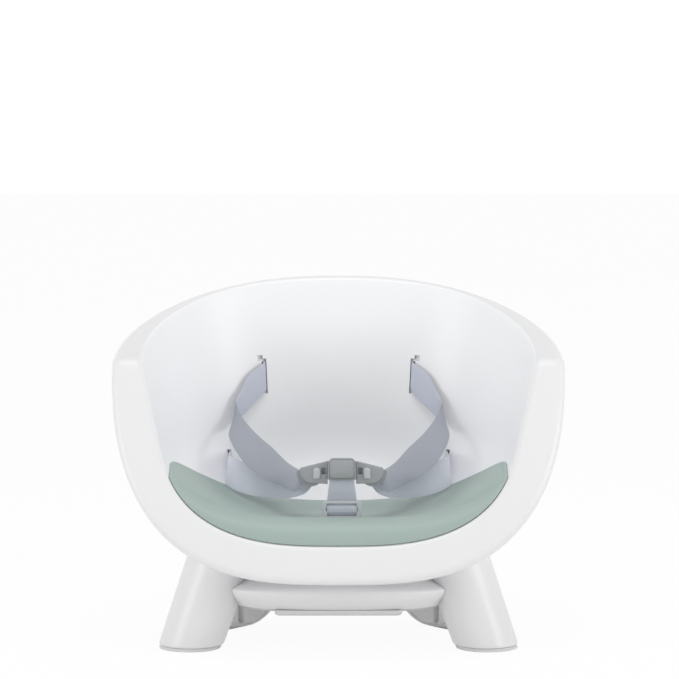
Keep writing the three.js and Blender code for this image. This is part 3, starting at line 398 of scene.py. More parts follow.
def joined(name, things):
    """Several closed meshes as one object."""
    mesh = bpy.data.meshes.new(name)
    with edited(mesh) as work:
        for thing in things:
            work.from_mesh(thing.data)
            bpy.data.objects.remove(thing)
    return linked(name, mesh)


def oval(cx, cy, z, rx, ry, sides, power=2):
    """A level ring; a power above 2 makes it squarer than an ellipse."""
    ring = []
    for i in range(sides):
        c, s = cos(i / sides * tau), sin(i / sides * tau)
        x = copysign(abs(c) ** (2 / power), c)
        y = copysign(abs(s) ** (2 / power), s)
        ring.append(Vector((cx + rx * x, cy + ry * y, z)))
    return ring


def arc(x, y, radius, first, last, steps):
    angles = [radians(mix(first, last, i / steps)) for i in range(steps + 1)]
    return [(x + radius * cos(a), y + radius * sin(a)) for a in angles]


def rounded(width, height, radius, steps=8):
    points = []
    for x, y, turn in ((1, -1, -90), (1, 1, 0), (-1, 1, 90), (-1, -1, 180)):
        centre = (x * (width / 2 - radius), y * (height / 2 - radius))
        points += arc(*centre, radius, turn, turn + 90, steps)
    return points


def at(outline, x, y):
    return [(x + u, y + v) for u, v in outline]


def drawn_in(outline, by):
    """An outline with every side moved inwards."""
    area = sum(a[0] * b[1] - b[0] * a[1] for a, b in zip(outline, outline[1:] + outline[:1]))
    sign = 1 if area > 0 else -1
    points = []
    for k, (x, y) in enumerate(outline):
        before, after = outline[k - 1], outline[(k + 1) % len(outline)]
        n1 = Vector((before[1] - y, x - before[0])).normalized() * sign
        n2 = Vector((y - after[1], after[0] - x)).normalized() * sign
        step = (n1 + n2) * (by / max(0.3, 1 + n1.dot(n2)))
        points.append((x + step.x, y + step.y))
    return points


def edge_levels(front, back, radius, steps=4):
    """Depths from front to back, each with how far the outline is drawn in there."""
    angles = [pi / 2 * k / steps for k in range(steps + 1)]
    turn = [(radius * (1 - cos(t)), radius * (1 - sin(t))) for t in angles]
    near = [(front + depth, inset) for depth, inset in turn]
    far = [(back - depth, inset) for depth, inset in reversed(turn)]
    return near + far


def facing_front(u, v, w):
    return Vector((u, w, v))


def slab(name, outline, levels, place=facing_front):
    """A plate of an outline, with an edge that its levels round off."""
    rings = []
    for w, inset in levels:
        ring = drawn_in(outline, inset) if inset else outline
        rings.append([place(u, v, w) for u, v in ring])
    return loft(name, rings)


def panel(name, size, x, z, levels):
    """A plate with rounded corners that faces the front, its middle at a point."""
    return slab(name, at(rounded(*size), x, z), levels)


def spline(points, samples):
    """A centripetal Catmull-Rom curve through the points."""
    p = [points[0] * 2 - points[1], *points, points[-1] * 2 - points[-2]]
    out = []
    for i in range(1, len(p) - 2):
        a, b, c, d = p[i - 1 : i + 3]
        t1 = max(1e-4, (b - a).length) ** 0.5
        t2 = t1 + max(1e-4, (c - b).length) ** 0.5
        t3 = t2 + max(1e-4, (d - c).length) ** 0.5
        for k in range(samples):
            t = mix(t1, t2, k / samples)
            a1 = a.lerp(b, t / t1)
            a2 = b.lerp(c, (t - t1) / (t2 - t1))
            a3 = c.lerp(d, (t - t2) / (t3 - t2))
            b1 = a1.lerp(a2, t / t2)
            b2 = a2.lerp(a3, (t - t1) / (t3 - t1))
            out.append(b1.lerp(b2, (t - t1) / (t2 - t1)))
    out.append(points[-1])
    return out


# Materials. Lengths in the webbing's UV are millimetres, in the other textures they are metres.

ROUGHNESS_SPREAD, CLOUD_SCALE, CLOUD_DETAIL = 0.04, 9, 3
GRAIN_SCALE, GRAIN_DETAIL, GRAIN_HEIGHT = 1400, 2, 0.0002
RIB_ACROSS, RIB_ALONG, RIB_STRENGTH, RIB_HEIGHT = 1.1, 0.9, 0.5, 0.00025


def rgb(r, g, b):
    """A display colour from 0 to 255 as linear light."""
    return tuple(
        (c / 255 / 12.92 if c <= 10 else ((c / 255 + 0.055) / 1.055) ** 2.4) for c in (r, g, b)
    ) + (1,)


def wire(tree, node, inputs):
    """Gives each named input of a node its value, or a link where a socket is given."""
    for key, value in inputs.items():
        if isinstance(value, bpy.types.NodeSocket):
            tree.links.new(value, node.inputs[key])
        else:
            node.inputs[key].default_value = value
    return node


def add(tree, kind, output, inputs):
    """An output of a new node."""
    return wire(tree, tree.nodes.new("ShaderNode" + kind), inputs).outputs[output]


def math_node(tree, operation, *values):
    node = tree.nodes.new("ShaderNodeMath")
    node.operation = operation
    return wire(tree, node, dict(enumerate(values))).outputs[0]


def blended(tree, factor, first, second):
    return add(tree, "MixRGB", "Color", {"Fac": factor, "Color1": first, "Color2": second})


def ranged(tree, value, low, high, value_low=0.0):
    ends = {"Value": value, "From Min": value_low, "To Min": low, "To Max": high}
    return add(tree, "MapRange", "Result", ends)


def bumped(tree, height, strength, distance):
    inputs = {"Height": height, "Strength": strength, "Distance": distance}
    return add(tree, "Bump", "Normal", inputs)


def noise(tree, place, scale, detail):
    return add(tree, "TexNoise", "Fac", {"Vector": place, "Scale": scale, "Detail": detail})


def material(name):
    made = bpy.data.materials.new(name)
    made.use_nodes = True
    return made, made.node_tree, made.node_tree.nodes["Principled BSDF"]


def plastic(name, colour, roughness, grain, spread, metallic=0):
    """A moulded surface with a fine grain, its colour and gloss a little uneven."""
    made, tree, shader = material(name)
    place = add(tree, "TexCoord", "Object", {})
    cloud = noise(tree, place, CLOUD_SCALE, CLOUD_DETAIL)
    colour = rgb(*colour)
    darker = tuple(c * (1 - spread) for c in colour[:3]) + (1,)
    gloss = (roughness - ROUGHNESS_SPREAD, roughness + ROUGHNESS_SPREAD)
    fine = noise(tree, place, GRAIN_SCALE, GRAIN_DETAIL)
    wire(tree, shader, {
        "Base Color": blended(tree, cloud, colour, darker),
        "Roughness": ranged(tree, cloud, *gloss),
        "Metallic": metallic,
        "Normal": bumped(tree, fine, grain, GRAIN_HEIGHT),
    })
    return made


def weave(name, light, dark):
    made, tree, shader = material(name)
    place = tree.nodes.new("ShaderNodeUVMap")
    place.uv_map = "UVMap"

    def wave(axis, pitch):
        run = add(tree, "SeparateXYZ", axis, {"Vector": place.outputs["UV"]})
        return math_node(tree, "SINE", math_node(tree, "MULTIPLY", run, 2 * pi / pitch))

    ribs = math_node(tree, "MULTIPLY", wave("X", RIB_ACROSS), wave("Y", RIB_ALONG))
    height = ranged(tree, ribs, 0, 1, -1)
    wire(tree, shader, {
        "Base Color": blended(tree, height, rgb(*dark), rgb(*light)),
        "Roughness": 0.75,
        "Sheen Weight": 0.25,
        "Sheen Roughness": 0.5,
        "Normal": bumped(tree, height, RIB_STRENGTH, RIB_HEIGHT),
    })
    return made


# The white plastic is one colour in three tones, outside, below and inside the bowl: the darker
# tone below is painted shade, the lighter tone inside is painted light.

WHITE = plastic("white_plastic", (229, 229, 230), 0.38, 0.05, 0.015)
WHITE_PAINTED_SHADE = plastic("white_plastic_painted_shade", (208, 208, 207), 0.4, 0.05, 0.015)
WHITE_PAINTED_LIGHT = plastic("white_plastic_painted_light", (244, 244, 246), 0.38, 0.05, 0.015)
SAGE = plastic("sage_pad", (160, 176, 170), 0.52, 0.25, 0.04)
RUBBER = plastic("sole_rubber", (218, 218, 220), 0.7, 0.4, 0.05)
GREY = plastic("grey_plastic", (152, 154, 158), 0.42, 0.2, 0.04)
LIGHT_GREY = plastic("light_grey_plastic", (184, 188, 191), 0.4, 0.1, 0.03)
BUTTON = plastic("button_plastic", (149, 152, 154), 0.42, 0.15, 0.04)
STEEL = plastic("plain_steel", (190, 192, 196), 0.35, 0.1, 0.02, 1)
WEBBING = weave("webbing", (210, 214, 228), (186, 190, 204))
# A darker copy of the webbing: painted shade on the face of each shoulder strap that turns to the
# front after its bend.
WEBBING_PAINTED_SHADE = weave("webbing_painted_shade", (170, 174, 185), (148, 152, 163))
# A darker copy of the webbing: painted shade on the crotch strap under the buckle.
WEBBING_CROTCH_PAINTED_SHADE = weave("webbing_crotch_painted_shade", (197, 201, 211), (175, 179, 190))
# A lighter copy of the webbing: painted light on the lap straps.
WEBBING_LAP_PAINTED_LIGHT = weave("webbing_lap_painted_light", (238, 239, 250), (219, 220, 233))

SLOT_MATERIAL = {
    "shell": WHITE, "pad": SAGE, "rubber": RUBBER, "webbing": WEBBING, "buckle": GREY,
    "button": BUTTON, "steel": STEEL,
}


def paint(thing, tone):
    thing.data.materials.clear()
    thing.data.materials.append(tone)


def finish_piece(thing, body, slot, *nodes, tone=None):
    """A piece's material, the body it moves with and the CAD nodes that it stands for."""
    paint(thing, tone or SLOT_MATERIAL[slot])
    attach(thing, body)
    if nodes:
        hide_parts(*nodes)
    return thing


NODE_SLOT = {part["node"]: part["material_slot"] for part in frame["record"]["subparts"]}
for node, thing in frame["nodes"].items():
    paint(thing, SLOT_MATERIAL[NODE_SLOT[node]])

# The two skins of the bowl

WALL_DEPTHS = [0.12, 0.3, 0.5, 0.7, 0.85, 0.95, 1, 1.003, 1.01, 1.022, 1.04, 1.065, 1.1]
WALL_DEPTHS += [1.14, 1.19, 1.25, 1.32, 1.4, 1.48, 1.56, 1.64, 1.72, 1.8, 1.88, 1.95]
INNER_BACK = moved(INNER, WALL)
OUTER_BACK = moved(OUTER, -WALL)


def rim_section(s):
    """The rolled rim at a station: a rounded corner, the flat band and the other corner."""
    outer, inner = edge_point(OUTER, s), edge_point(INNER, s)
    band, most = (inner - outer).normalized(), RIM_SHARE * (inner - outer).length
    big, small = min(OUTER_RIM, most), min(INNER_RIM, most)
    band_start, band_end = outer + band * big, inner - band * small
    start, end = outer + inwards(OUTER, s) * big, inner + inwards(INNER, s) * small
    points = bends(start, outer, band_start, OUTER_RIM_STEPS)
    points.append(band_start.lerp(band_end, 0.5))
    return points + bends(band_end, inner, end, INNER_RIM_STEPS)


def rim_rings():
    sections = {s: rim_section(s) for s in STATIONS}
    count = len(sections[STATIONS[0]])
    return [full_ring(lambda s, k=k: sections[s][k]) for k in range(count)]


def wall_place(angle, z):
    return round_plan(INNER, radians(angle), floor_share(INNER, z), z)


def wall_frame(angle, z, side):
    """A place on the bowl's inner wall: X along it, Y into it and Z up it."""
    step = 0.5
    here = wall_place(angle, z)
    along = wall_place(angle + step, z) - wall_place(angle - step, z)
    out = Vector((along.y, -along.x, 0)).normalized()
    if out.dot(Vector((here.x, here.y - BODY_Y, 0))) < 0:
        out.negate()
    rise = (wall_place(angle, z + step) - wall_place(angle, z - step)) / (2 * step)
    lean = atan(rise.dot(out))
    turn = Matrix.Rotation(-side * atan2(out.x, out.y), 4, "Z")
    place = Matrix.Translation((side * here.x, here.y, here.z))
    return place @ turn @ Matrix.Rotation(-lean, 4, "X")


def wall_angle(x, z):
    part = min(1.0, x / width_at(INNER, floor_share(INNER, z), z))
    return degrees(acos(part ** (INNER.power / 2)))


SHOULDER_X, SHOULDER_Z, SHOULDER_SLOT, SHOULDER_CUT = 65.5, 211, 31, 14
NOTCH, NOTCH_OUT, NOTCH_RISE = 5, 3.6, 0.4
LAP_ANGLE, LAP_Z, LAP_CUT, LAP_SPARE = 50, 137, 16, 4
SLOT_WIDTH, WEB, WEB_THICK = 4.4, 25, 1.3
HARNESS_X, HARNESS_Y = 2.9, -72
SHOULDER_FRAME = {
    s: wall_frame(wall_angle(SHOULDER_X, SHOULDER_Z), SHOULDER_Z, s) for s in (-1, 1)
}
LAP_FRAME = {s: wall_frame(LAP_ANGLE, LAP_Z, s) for s in (-1, 1)}


def box_piece(name, width, depth, height, place, shift=(0, 0, 0)):
    mesh = bpy.data.meshes.new(name)
    with edited(mesh) as work:
        bmesh.ops.create_cube(work, size=1)
        for v in work.verts:
            local = Vector((v.co.x * width, v.co.y * depth, v.co.z * height)) + Vector(shift)
            v.co = (place @ local) * MM
    return linked(name, mesh)


def block(width, depth, height, x, y, z):
    return box_piece("block", width, depth, height, Matrix.Identity(4), (x, y, z))


def inner_shell():
    """The bowl's inner skin with its rim. The faces inside the bowl, from near the end of the rim's
    inner rounding on, are marked for a lighter copy of the white: painted light, with a painted
    highlight on that rounding.
    """
    inner = [face_ring(INNER, d) for d in WALL_DEPTHS]
    back = [face_ring(INNER_BACK, d) for d in reversed(WALL_DEPTHS)]
    rim = rim_rings()
    front = [seam_ring(OUTER, SEAM_DROP), *rim, *inner]
    hidden = [*back, seam_ring(INNER_BACK, WALL), seam_ring(OUTER_BACK, WALL)]
    hidden.append(seam_ring(OUTER_BACK, SEAM_DROP))
    thing = skin("bowl_inner", front, pole(INNER), hidden, pole(INNER_BACK))
    painted_light_mark = thing.data.attributes.new("inside", "INT", "FACE")
    first, last = (len(rim) - 2) * len(inner[0]), len(front) * len(inner[0])
    for polygon in thing.data.polygons:
        painted_light_mark.data[polygon.index].value = int(first <= min(polygon.vertices) < last)
    for side in (-1, 1):
        place = SHOULDER_FRAME[side]
        cut(thing, box_piece("slot", SLOT_WIDTH, SHOULDER_CUT, SHOULDER_SLOT, place))
        shift = (side * NOTCH_OUT, 0, SHOULDER_SLOT / 2 + NOTCH_RISE)
        cut(thing, box_piece("notch", NOTCH, SHOULDER_CUT, NOTCH, place, shift))
        cut(thing, box_piece("lap_slot", SLOT_WIDTH, LAP_CUT, WEB + LAP_SPARE, LAP_FRAME[side]))
    return smooth(thing, 40)


def outer_shell():
    """The bowl's outer skin, from the seam under the rim down."""

    def rings(face):
        upper = [seam_ring(face, SEAM_DROP + SEAM_GAP, t) for t in (0, 0.25, 0.5, 0.75)]
        return upper + [face_ring(face, d) for d in WALL_DEPTHS if d >= 1]

    hidden = rings(OUTER_BACK)[::-1]
    return smooth(skin("bowl_outer", rings(OUTER), pole(OUTER), hidden, pole(OUTER_BACK)), 40)


bowl = finish_piece(inner_shell(), "seat", "shell", "seat_shell")
# The faces inside the bowl take the lighter copy of the white, painted light.
bowl.data.materials.append(WHITE_PAINTED_LIGHT)
inside = [item.value for item in bowl.data.attributes["inside"].data]
bowl.data.polygons.foreach_set("material_index", inside)
bowl.data.attributes.remove(bowl.data.attributes["inside"])
finish_piece(outer_shell(), "seat", "shell", "back_shell")

# Seat pad

PAD_THICK, PAD_RIM_THICK, PAD_HORN_Z, PAD_BACK_Y = 20, 5, 158, 54
PAD_MIDDLE_Y, PAD_POWER, PAD_INSET, PAD_EASING, PAD_EASE_POWER = -45, 1.8, 1.2, 160, 5
PAD_BACK_THIN, PAD_CROWN, PAD_SLOT = 0.8, 0.64, (46, 7, 60)
PAD_FACE = moved(INNER, -GAP)
PAD_PROFILE = [
    (1.0, 0.1), (0.999, 0.2), (0.996, 0.3), (0.992, 0.39), (0.986, 0.47), (0.977, 0.56),
    (0.965, 0.64), (0.948, 0.72), (0.925, 0.8), (0.895, 0.875), (0.86, 0.93), (0.82, 0.968),
    (0.78, 0.99), (0.74, 1.0), (0.7, 0.998), (0.64, 0.97), (0.58, 0.925), (0.48, 0.83),
    (0.38, 0.745), (0.28, 0.69), (0.19, 0.665), (0.1, 0.645),
]


def pad_climb(p):
    return max(0.0, (p.z - PAD_FACE.low) / (PAD_HORN_Z - PAD_FACE.low))


def pad_run(p):
    return max(0.0, (p.y - BODY_Y) / (PAD_BACK_Y - BODY_Y))


def pad_edge(station):
    near, far = 0.0, 2.0
    for _ in range(PAD_HALVINGS):
        depth = (near + far) / 2
        point = face_point(PAD_FACE, station, depth)
        if pad_climb(point) ** PAD_POWER + pad_run(point) ** PAD_POWER > 1:
            near = depth
        else:
            far = depth
    return face_point(PAD_FACE, station, far)


def eased(line):
    """The same line with its corners rounded off."""
    for _ in range(PAD_EASING):
        first, last = line[1], line[-2]
        ends = [Vector((-first.x, first.y, first.z)), Vector((-last.x, last.y, last.z))]
        padded = [ends[0], *line, ends[1]]
        line = [(a + 2 * b + c) / 4 for a, b, c in zip(padded, line, padded[2:])]
    return line


PAD_EDGE = {s: pad_edge(s) for s in STATIONS}
PAD_EASED = dict(zip(STATIONS, eased(list(PAD_EDGE.values()))))


def pad_ring(share, rise):
    """A ring of the pad at a share of its size, lifted by a share of its thickness."""
    middle = Vector((0, PAD_MIDDLE_Y, 0))

    def point(station):
        edge = PAD_EASED[station].lerp(PAD_EDGE[station], share**PAD_EASE_POWER)
        p = edge.lerp(middle, 1 - share)
        p.z = height_over(PAD_FACE, p.x, p.y)
        thin = clamp(pad_climb(edge) * share + PAD_BACK_THIN * pad_run(p) ** 2)
        thickness = mix(PAD_THICK, PAD_RIM_THICK, thin)
        return p + normal_over(PAD_FACE, p.x, p.y) * rise * thickness

    return full_ring(point)


def seat_pad():
    inset = 1 - PAD_INSET / INNER.half
    rings = [pad_ring(share * inset, 0) for share in (0.5, 1)]
    rings += [pad_ring(share * inset, rise) for share, rise in PAD_PROFILE]
    crown = Vector((0, PAD_MIDDLE_Y, PAD_FACE.low + PAD_CROWN * PAD_THICK))
    thing = loft("pad_cushion", rings, Vector((0, PAD_MIDDLE_Y, PAD_FACE.low)), crown)
    place = Matrix.Translation((HARNESS_X, HARNESS_Y, INNER.low))
    return smooth(cut(thing, box_piece("pad_slot", *PAD_SLOT, place)), 50)


pad = finish_piece(seat_pad(), "seat", "pad", "seat_pad")

# Feet, the hub between them and its cover

FOOT_X, FOOT_Y, FOOT_RADIUS, FOOT_WALL = 125.6, -68, 27.5, 3
FOOT_SPLAY, FOOT_GROWTH, FOOT_RAKE, FOOT_LOW, FOOT_TOP = 0.345, 0.02, 0.1, 3, 150
FOOT_CEILING, BELOW_FLOOR, ROOM_HEIGHT = 50, -5, 300
FOOT_LEVELS = range(8, 150, 8)
REAR_Y, REAR_HALF_DEPTH, REAR_OUTER, REAR_INNER = 34, 28, 141.6, 86.6
REAR_SWELL, REAR_SWELL_Z, REAR_GROWTH, REAR_RAKE, REAR_POWER = 38, 44, 0.05, 0.08, 2.5
REAR_LEVELS = (3, 4.5, 6, 8, 10, 12.5, 15, 18, 21, 25, 29, 33, 38, 44, 50, 60, 75, 90, 110, 130)
REAR_WINDOWS, REAR_WINDOW_REACH = (0, -8, -20), -200
PANEL_Y, GROOVE, GROOVE_PLACE = 14, (5, 106, 2.4), (84.6, 59)
GROOVE_DEPTH, GROOVE_INSET, GROOVE_LOW = 3, -1.6, 6
HUB_HALF_WIDTH, HUB_REACH, HUB_Y, HUB_LOW, HUB_POWER = 105, 89, -15, 36, 3.5
COVER_THICK, TAB_WIDTH, TAB_DEPTH, TAB_DROP = 2.6, 107, 26, 4.6
TAB_SETBACK, TAB_CORNER, TAB_EDGE = 10, 6, 1.6
CONE_SIDES, HAUNCH_SIDES, HUB_SIDES = 72, 88, 120

# How far an edge is drawn in at heights above the lowest level

ROUND, SHARP = ((0, 1.4), (0.2, 0.8), (0.6, 0.35), (1.3, 0.06), (2, 0)), ((0, 0),)


def bowl_room():
    """The outer skin with its clearance, filled up to far above the rim."""
    face = moved(OUTER, GAP)
    rings = [face_ring(face, d) for d in [0, *WALL_DEPTHS]]
    mouth = [p + Vector((0, 0, ROOM_HEIGHT)) for p in rings[0]]
    return loft("room", [mouth, *rings], Vector((0, POLE_Y, 2 * ROOM_HEIGHT)), pole(face))


def levels_between(low, high, levels, edge):
    """Heights of a foot's rings, each with how far the ring is drawn in."""
    inside = [z for z in levels if low + 2.5 < z < high - 0.5]
    return [(low + up, inset) for up, inset in edge] + [(z, 0) for z in (*inside, high)]


def foot_cone(grow, low, high, edge=SHARP):
    rings = []
    for z, inset in levels_between(low, high, FOOT_LEVELS, edge):
        radius = FOOT_RADIUS + FOOT_GROWTH * z + grow - inset
        centre = (FOOT_X - FOOT_SPLAY * z, FOOT_Y + FOOT_RAKE * z, z)
        rings.append(oval(*centre, radius, radius, CONE_SIDES))
    return loft("cone", rings)


def haunch(grow, low, high, edge=SHARP):
    rings = []
    for z, inset in levels_between(low, high, REAR_LEVELS, edge):
        climb = clamp(z / REAR_SWELL_Z)
        inner = REAR_INNER - REAR_SWELL * sqrt(1 - (1 - climb) ** 2) - grow + inset
        outer = REAR_OUTER - FOOT_SPLAY * z + grow - inset
        depth = REAR_HALF_DEPTH + REAR_GROWTH * z + grow - inset
        centre = ((inner + outer) / 2, REAR_Y - REAR_RAKE * z, z)
        rings.append(oval(*centre, (outer - inner) / 2, depth, HAUNCH_SIDES, REAR_POWER))
    return loft("haunch", rings)


def behind(y, far=300):
    """Everything further back than a depth, and with a negative reach everything nearer."""
    return block(800, abs(far), 800, 0, y + far / 2, 0)


def front_foot():
    foot = cut(foot_cone(0, FOOT_LOW, FOOT_TOP, ROUND), bowl_room())
    return cut(foot, foot_cone(-FOOT_WALL, BELOW_FLOOR, FOOT_CEILING))


def rear_foot():
    """A lobe up to the bowl, hollow from below, with a panel set back in its front and a groove."""
    foot = cut(haunch(0, FOOT_LOW, FOOT_TOP, ROUND), bowl_room())
    groove_y = PANEL_Y + GROOVE_DEPTH
    room = haunch(-FOOT_WALL, BELOW_FLOOR, FOOT_CEILING)
    foot = cut(foot, cut(room, behind(groove_y + FOOT_WALL), "INTERSECT"))
    for shift in REAR_WINDOWS:
        window = haunch(-FOOT_WALL, FOOT_LOW + FOOT_WALL, FOOT_CEILING)
        window.data.transform(Matrix.Translation((0, shift * MM, 0)))
        foot = cut(foot, cut(window, behind(PANEL_Y, REAR_WINDOW_REACH), "INTERSECT"))
    groove = panel("groove", GROOVE, *GROOVE_PLACE, [(PANEL_Y - 1, 0), (groove_y, 0)])
    return cut(foot, cut(groove, haunch(GROOVE_INSET, GROOVE_LOW, FOOT_CEILING), "INTERSECT"))


# Rings of the hub and of its cover: height, how far in at the sides and at the front, and power

HUB_BASE = (36, 16.2, 14.2)
HUB_PROFILE = [
    (36, 13, 10.4, 3.5), (39, 9.6, 6.9, 3.5), (43, 5.6, 3.6, 3.5), (47.5, 1.8, 0.9, 3.5),
    (52, 0, 0, 3.5), (55.5, 4.4, 0.8, 3), (59, 10.7, 3.4, 2.5), (64, 14, 7, 2.5), (70, 17, 12, 2.5),
]
COVER_PROFILE = [(0, 18.2, 18.2), (0.3, 17.3, 17.3), (1, 16.9, 16.9), (COVER_THICK, 16, 16)]


def hub_ring(z, inset, front_inset, power=HUB_POWER):
    size = (HUB_HALF_WIDTH - inset, HUB_REACH - front_inset)
    return oval(0, HUB_Y, z, *size, HUB_SIDES, power)


def clear_of_feet(thing):
    for maker in (foot_cone, haunch):
        right = maker(GAP, BELOW_FLOOR, FOOT_TOP)
        thing = cut(cut(thing, mirrored(right, "left")), right)
    return thing


def hub():
    rows = spline([Vector(row) for row in HUB_PROFILE], 4)
    rings = [hub_ring(*HUB_BASE), *[hub_ring(*row) for row in rows]]
    return clear_of_feet(cut(loft("hub", rings), bowl_room()))


def cover():
    """The plate under the hub, with the tab whose lip shows at the front."""
    top = HUB_LOW - GAP
    low = top - COVER_THICK
    sheet = loft("sheet", [hub_ring(low + z, *insets) for z, *insets in COVER_PROFILE])
    y = HUB_Y - HUB_REACH + TAB_SETBACK + TAB_DEPTH / 2
    levels = edge_levels(top - TAB_DROP, top, TAB_EDGE)[:5] + [(top, 0)]
    outline = at(rounded(TAB_WIDTH, TAB_DEPTH, TAB_CORNER), 0, y)
    tab = slab("tab", outline, levels, lambda u, v, w: Vector((u, v, w)))
    return clear_of_feet(cut(sheet, tab, "UNION"))


for maker, word in ((front_foot, "front_foot"), (rear_foot, "rear_foot")):
    right = named(maker(), word + "_cone_right", 38)
    left = mirrored(right, word + "_cone_left")
    finish_piece(right, "seat", "shell", word + "_right")
    finish_piece(smooth(left, 38), "seat", "shell", word + "_left")
finish_piece(smooth(hub(), 32), "seat", "shell", "base_hub")
# The cover takes the darker copy of the white, painted shade below the bowl.
finish_piece(smooth(cover(), 32), "seat", "shell", "base_cover", tone=WHITE_PAINTED_SHADE)

# Harness. A strap's two edges run through pairs of points, measured from the middle outwards; the
# number before a pair is how much the point follows the buckle, which hangs beside the middle.

STRAP_ENDS, STRAP_SAMPLES, STRAP_COLUMNS = (6, -1.5), 8, 9
WEB_EDGE, WEB_EDGE_SHARE, WEAVE_SHARE, WEAVE_START = 0.7, 0.12, 0.98, 0.3
SHOULDER_PATH = [
    (0, (79, 97.4, 213), (74, 95.2, 189)), (0.05, (86, 90, 201), (85, 86, 178)),
    (0.1, (90, 81, 192), (93.6, 76, 169)), (0.2, (86, 69, 181), (96.5, 53, 166)),
    (0.4, (73.6, 38, 169), (92, 24, 158)), (0.6, (58.7, 6, 160), (81.5, -2, 147)),
    (0.8, (46.8, -26, 152.5), (67, -28, 139.5)), (0.95, (37.5, -52, 150), (53, -43, 135)),
    (1, (32.6, -61.5, 150), (40.6, -59.5, 132)), (1, (28.4, -63.2, 149.4), (35.2, -62.6, 134)),
]
LAP_END_Z = 149.5
LAP_PATH = [
    (0, (95.6, 52, 149.3), (92.5, 48, 125.6)), (0.05, (94.8, 33, 148.8), (98.4, 29, 126)),
    (0.1, (85, 16, 147.5), (91.6, 14, 123.2)), (0.3, (72, -2, 145.5), (76.4, -7, 120.8)),
    (0.5, (58, -17, 145), (60.6, -21, 120.8)), (0.7, (44, -33, 145), (45.4, -38, 122.5)),
    (0.9, (33, -45, 148), (31.6, -51, 128.5)), (1, (26, -56, 152.5), (25.6, -58, 135.5)),
    (1, (20, -63.4, LAP_END_Z + 5), (20, -63.4, LAP_END_Z - 8)),
    (1, (13.6, -63.4, LAP_END_Z + 5), (13.6, -63.4, LAP_END_Z - 8)),
]


def strap_pairs(side, path, place):
    """A strap's pairs of points, from behind its slot in the wall to its other end."""
    half = WEB / 2
    pairs = [(place @ Vector((0, y, half)), place @ Vector((0, y, -half))) for y in STRAP_ENDS]
    for near, *pair in path:
        pairs.append([Vector((HARNESS_X * near + side * x, y, z)) for x, y, z in pair])
    return pairs


def ribbon(name, pairs, grow=0.0):
    """Webbing with rounded edges."""
    left = spline([a for a, _ in pairs], STRAP_SAMPLES)
    right = spline([b for _, b in pairs], STRAP_SAMPLES)
    count, across = len(left), STRAP_COLUMNS
    rings, uv, run = [], [], 0.0
    for i in range(count):
        a, b = left[i], right[i]
        before, after = max(0, i - 1), min(count - 1, i + 1)
        along = (left[after] + right[after] - left[before] - right[before]).normalized()
        side = (b - a).normalized()
        normal = along.cross(side).normalized()
        if i:
            run += ((a + b) / 2 - (left[i - 1] + right[i - 1]) / 2).length
        width = (b - a).length
        ring = []
        for sign in (1, -1):
            for k in range(across):
                t = k / (across - 1) if sign > 0 else 1 - k / (across - 1)
                edge = min(t, 1 - t) * width
                lift = WEB_THICK / 2 * sqrt(clamp(edge / WEB_EDGE, WEB_EDGE_SHARE, 1)) + grow
                spread = side * (t * width + (2 * t - 1) * grow)
                ring.append(a + spread + normal * sign * lift)
                uv.append((t * WEB * WEAVE_SHARE + WEAVE_START, run))
        rings.append(ring)
    points = [p for ring in rings for p in ring]
    ends = [range(2 * across)[::-1], range(len(points) - 2 * across, len(points))]
    return smooth(solid(name, points, [*strips(rings), *ends], uv), 60)


def painted_shade_face(thing, sign):
    # One face of the strap takes the darker copy of the webbing, painted shade.
    thing.data.materials.append(WEBBING_PAINTED_SHADE)
    for polygon in thing.data.polygons:
        columns = [i % (2 * STRAP_COLUMNS) for i in polygon.vertices]
        if len(columns) == 4 and all((c >= STRAP_COLUMNS) == (sign < 0) for c in columns):
            polygon.material_index = 1


def metres(x, y, z):
    return (x * MM, y * MM, z * MM)


def strap(name, pairs, node, body, start, end, tone, sign=0):
    """A strap in its tone, which stands for a CAD node and hides it."""
    thing = ribbon(name, pairs)
    thing.data.materials.append(tone)
    if sign:
        painted_shade_face(thing, sign)
    metres(*start)
    metres(*end)
    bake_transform(thing)
    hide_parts(node)


SIDES = (("left", -1), ("right", 1))
for word, side in SIDES:
    for part, path, place, start, end, tone, sign in (
        ("shoulder", SHOULDER_PATH, SHOULDER_FRAME, (90, 70, 180), (42, -50, 144), WEBBING, side),
        # The lap straps take the lighter copy of the webbing, painted light.
        ("lap", LAP_PATH, LAP_FRAME, (92, 25, 137), (28, -54, 145), WEBBING_LAP_PAINTED_LIGHT, 0),
    ):
        pairs = strap_pairs(side, path, place[side])
        start = (side * start[0], *start[1:])
        end = (HARNESS_X + side * end[0], *end[1:])
        names = (f"{part}_webbing_{word}", pairs, f"{part}_strap_{word}", "tongue_" + word)
        strap(*names, start, end, tone, sign)

# The crotch strap is in two parts, which meet where it passes over the slider's bar.

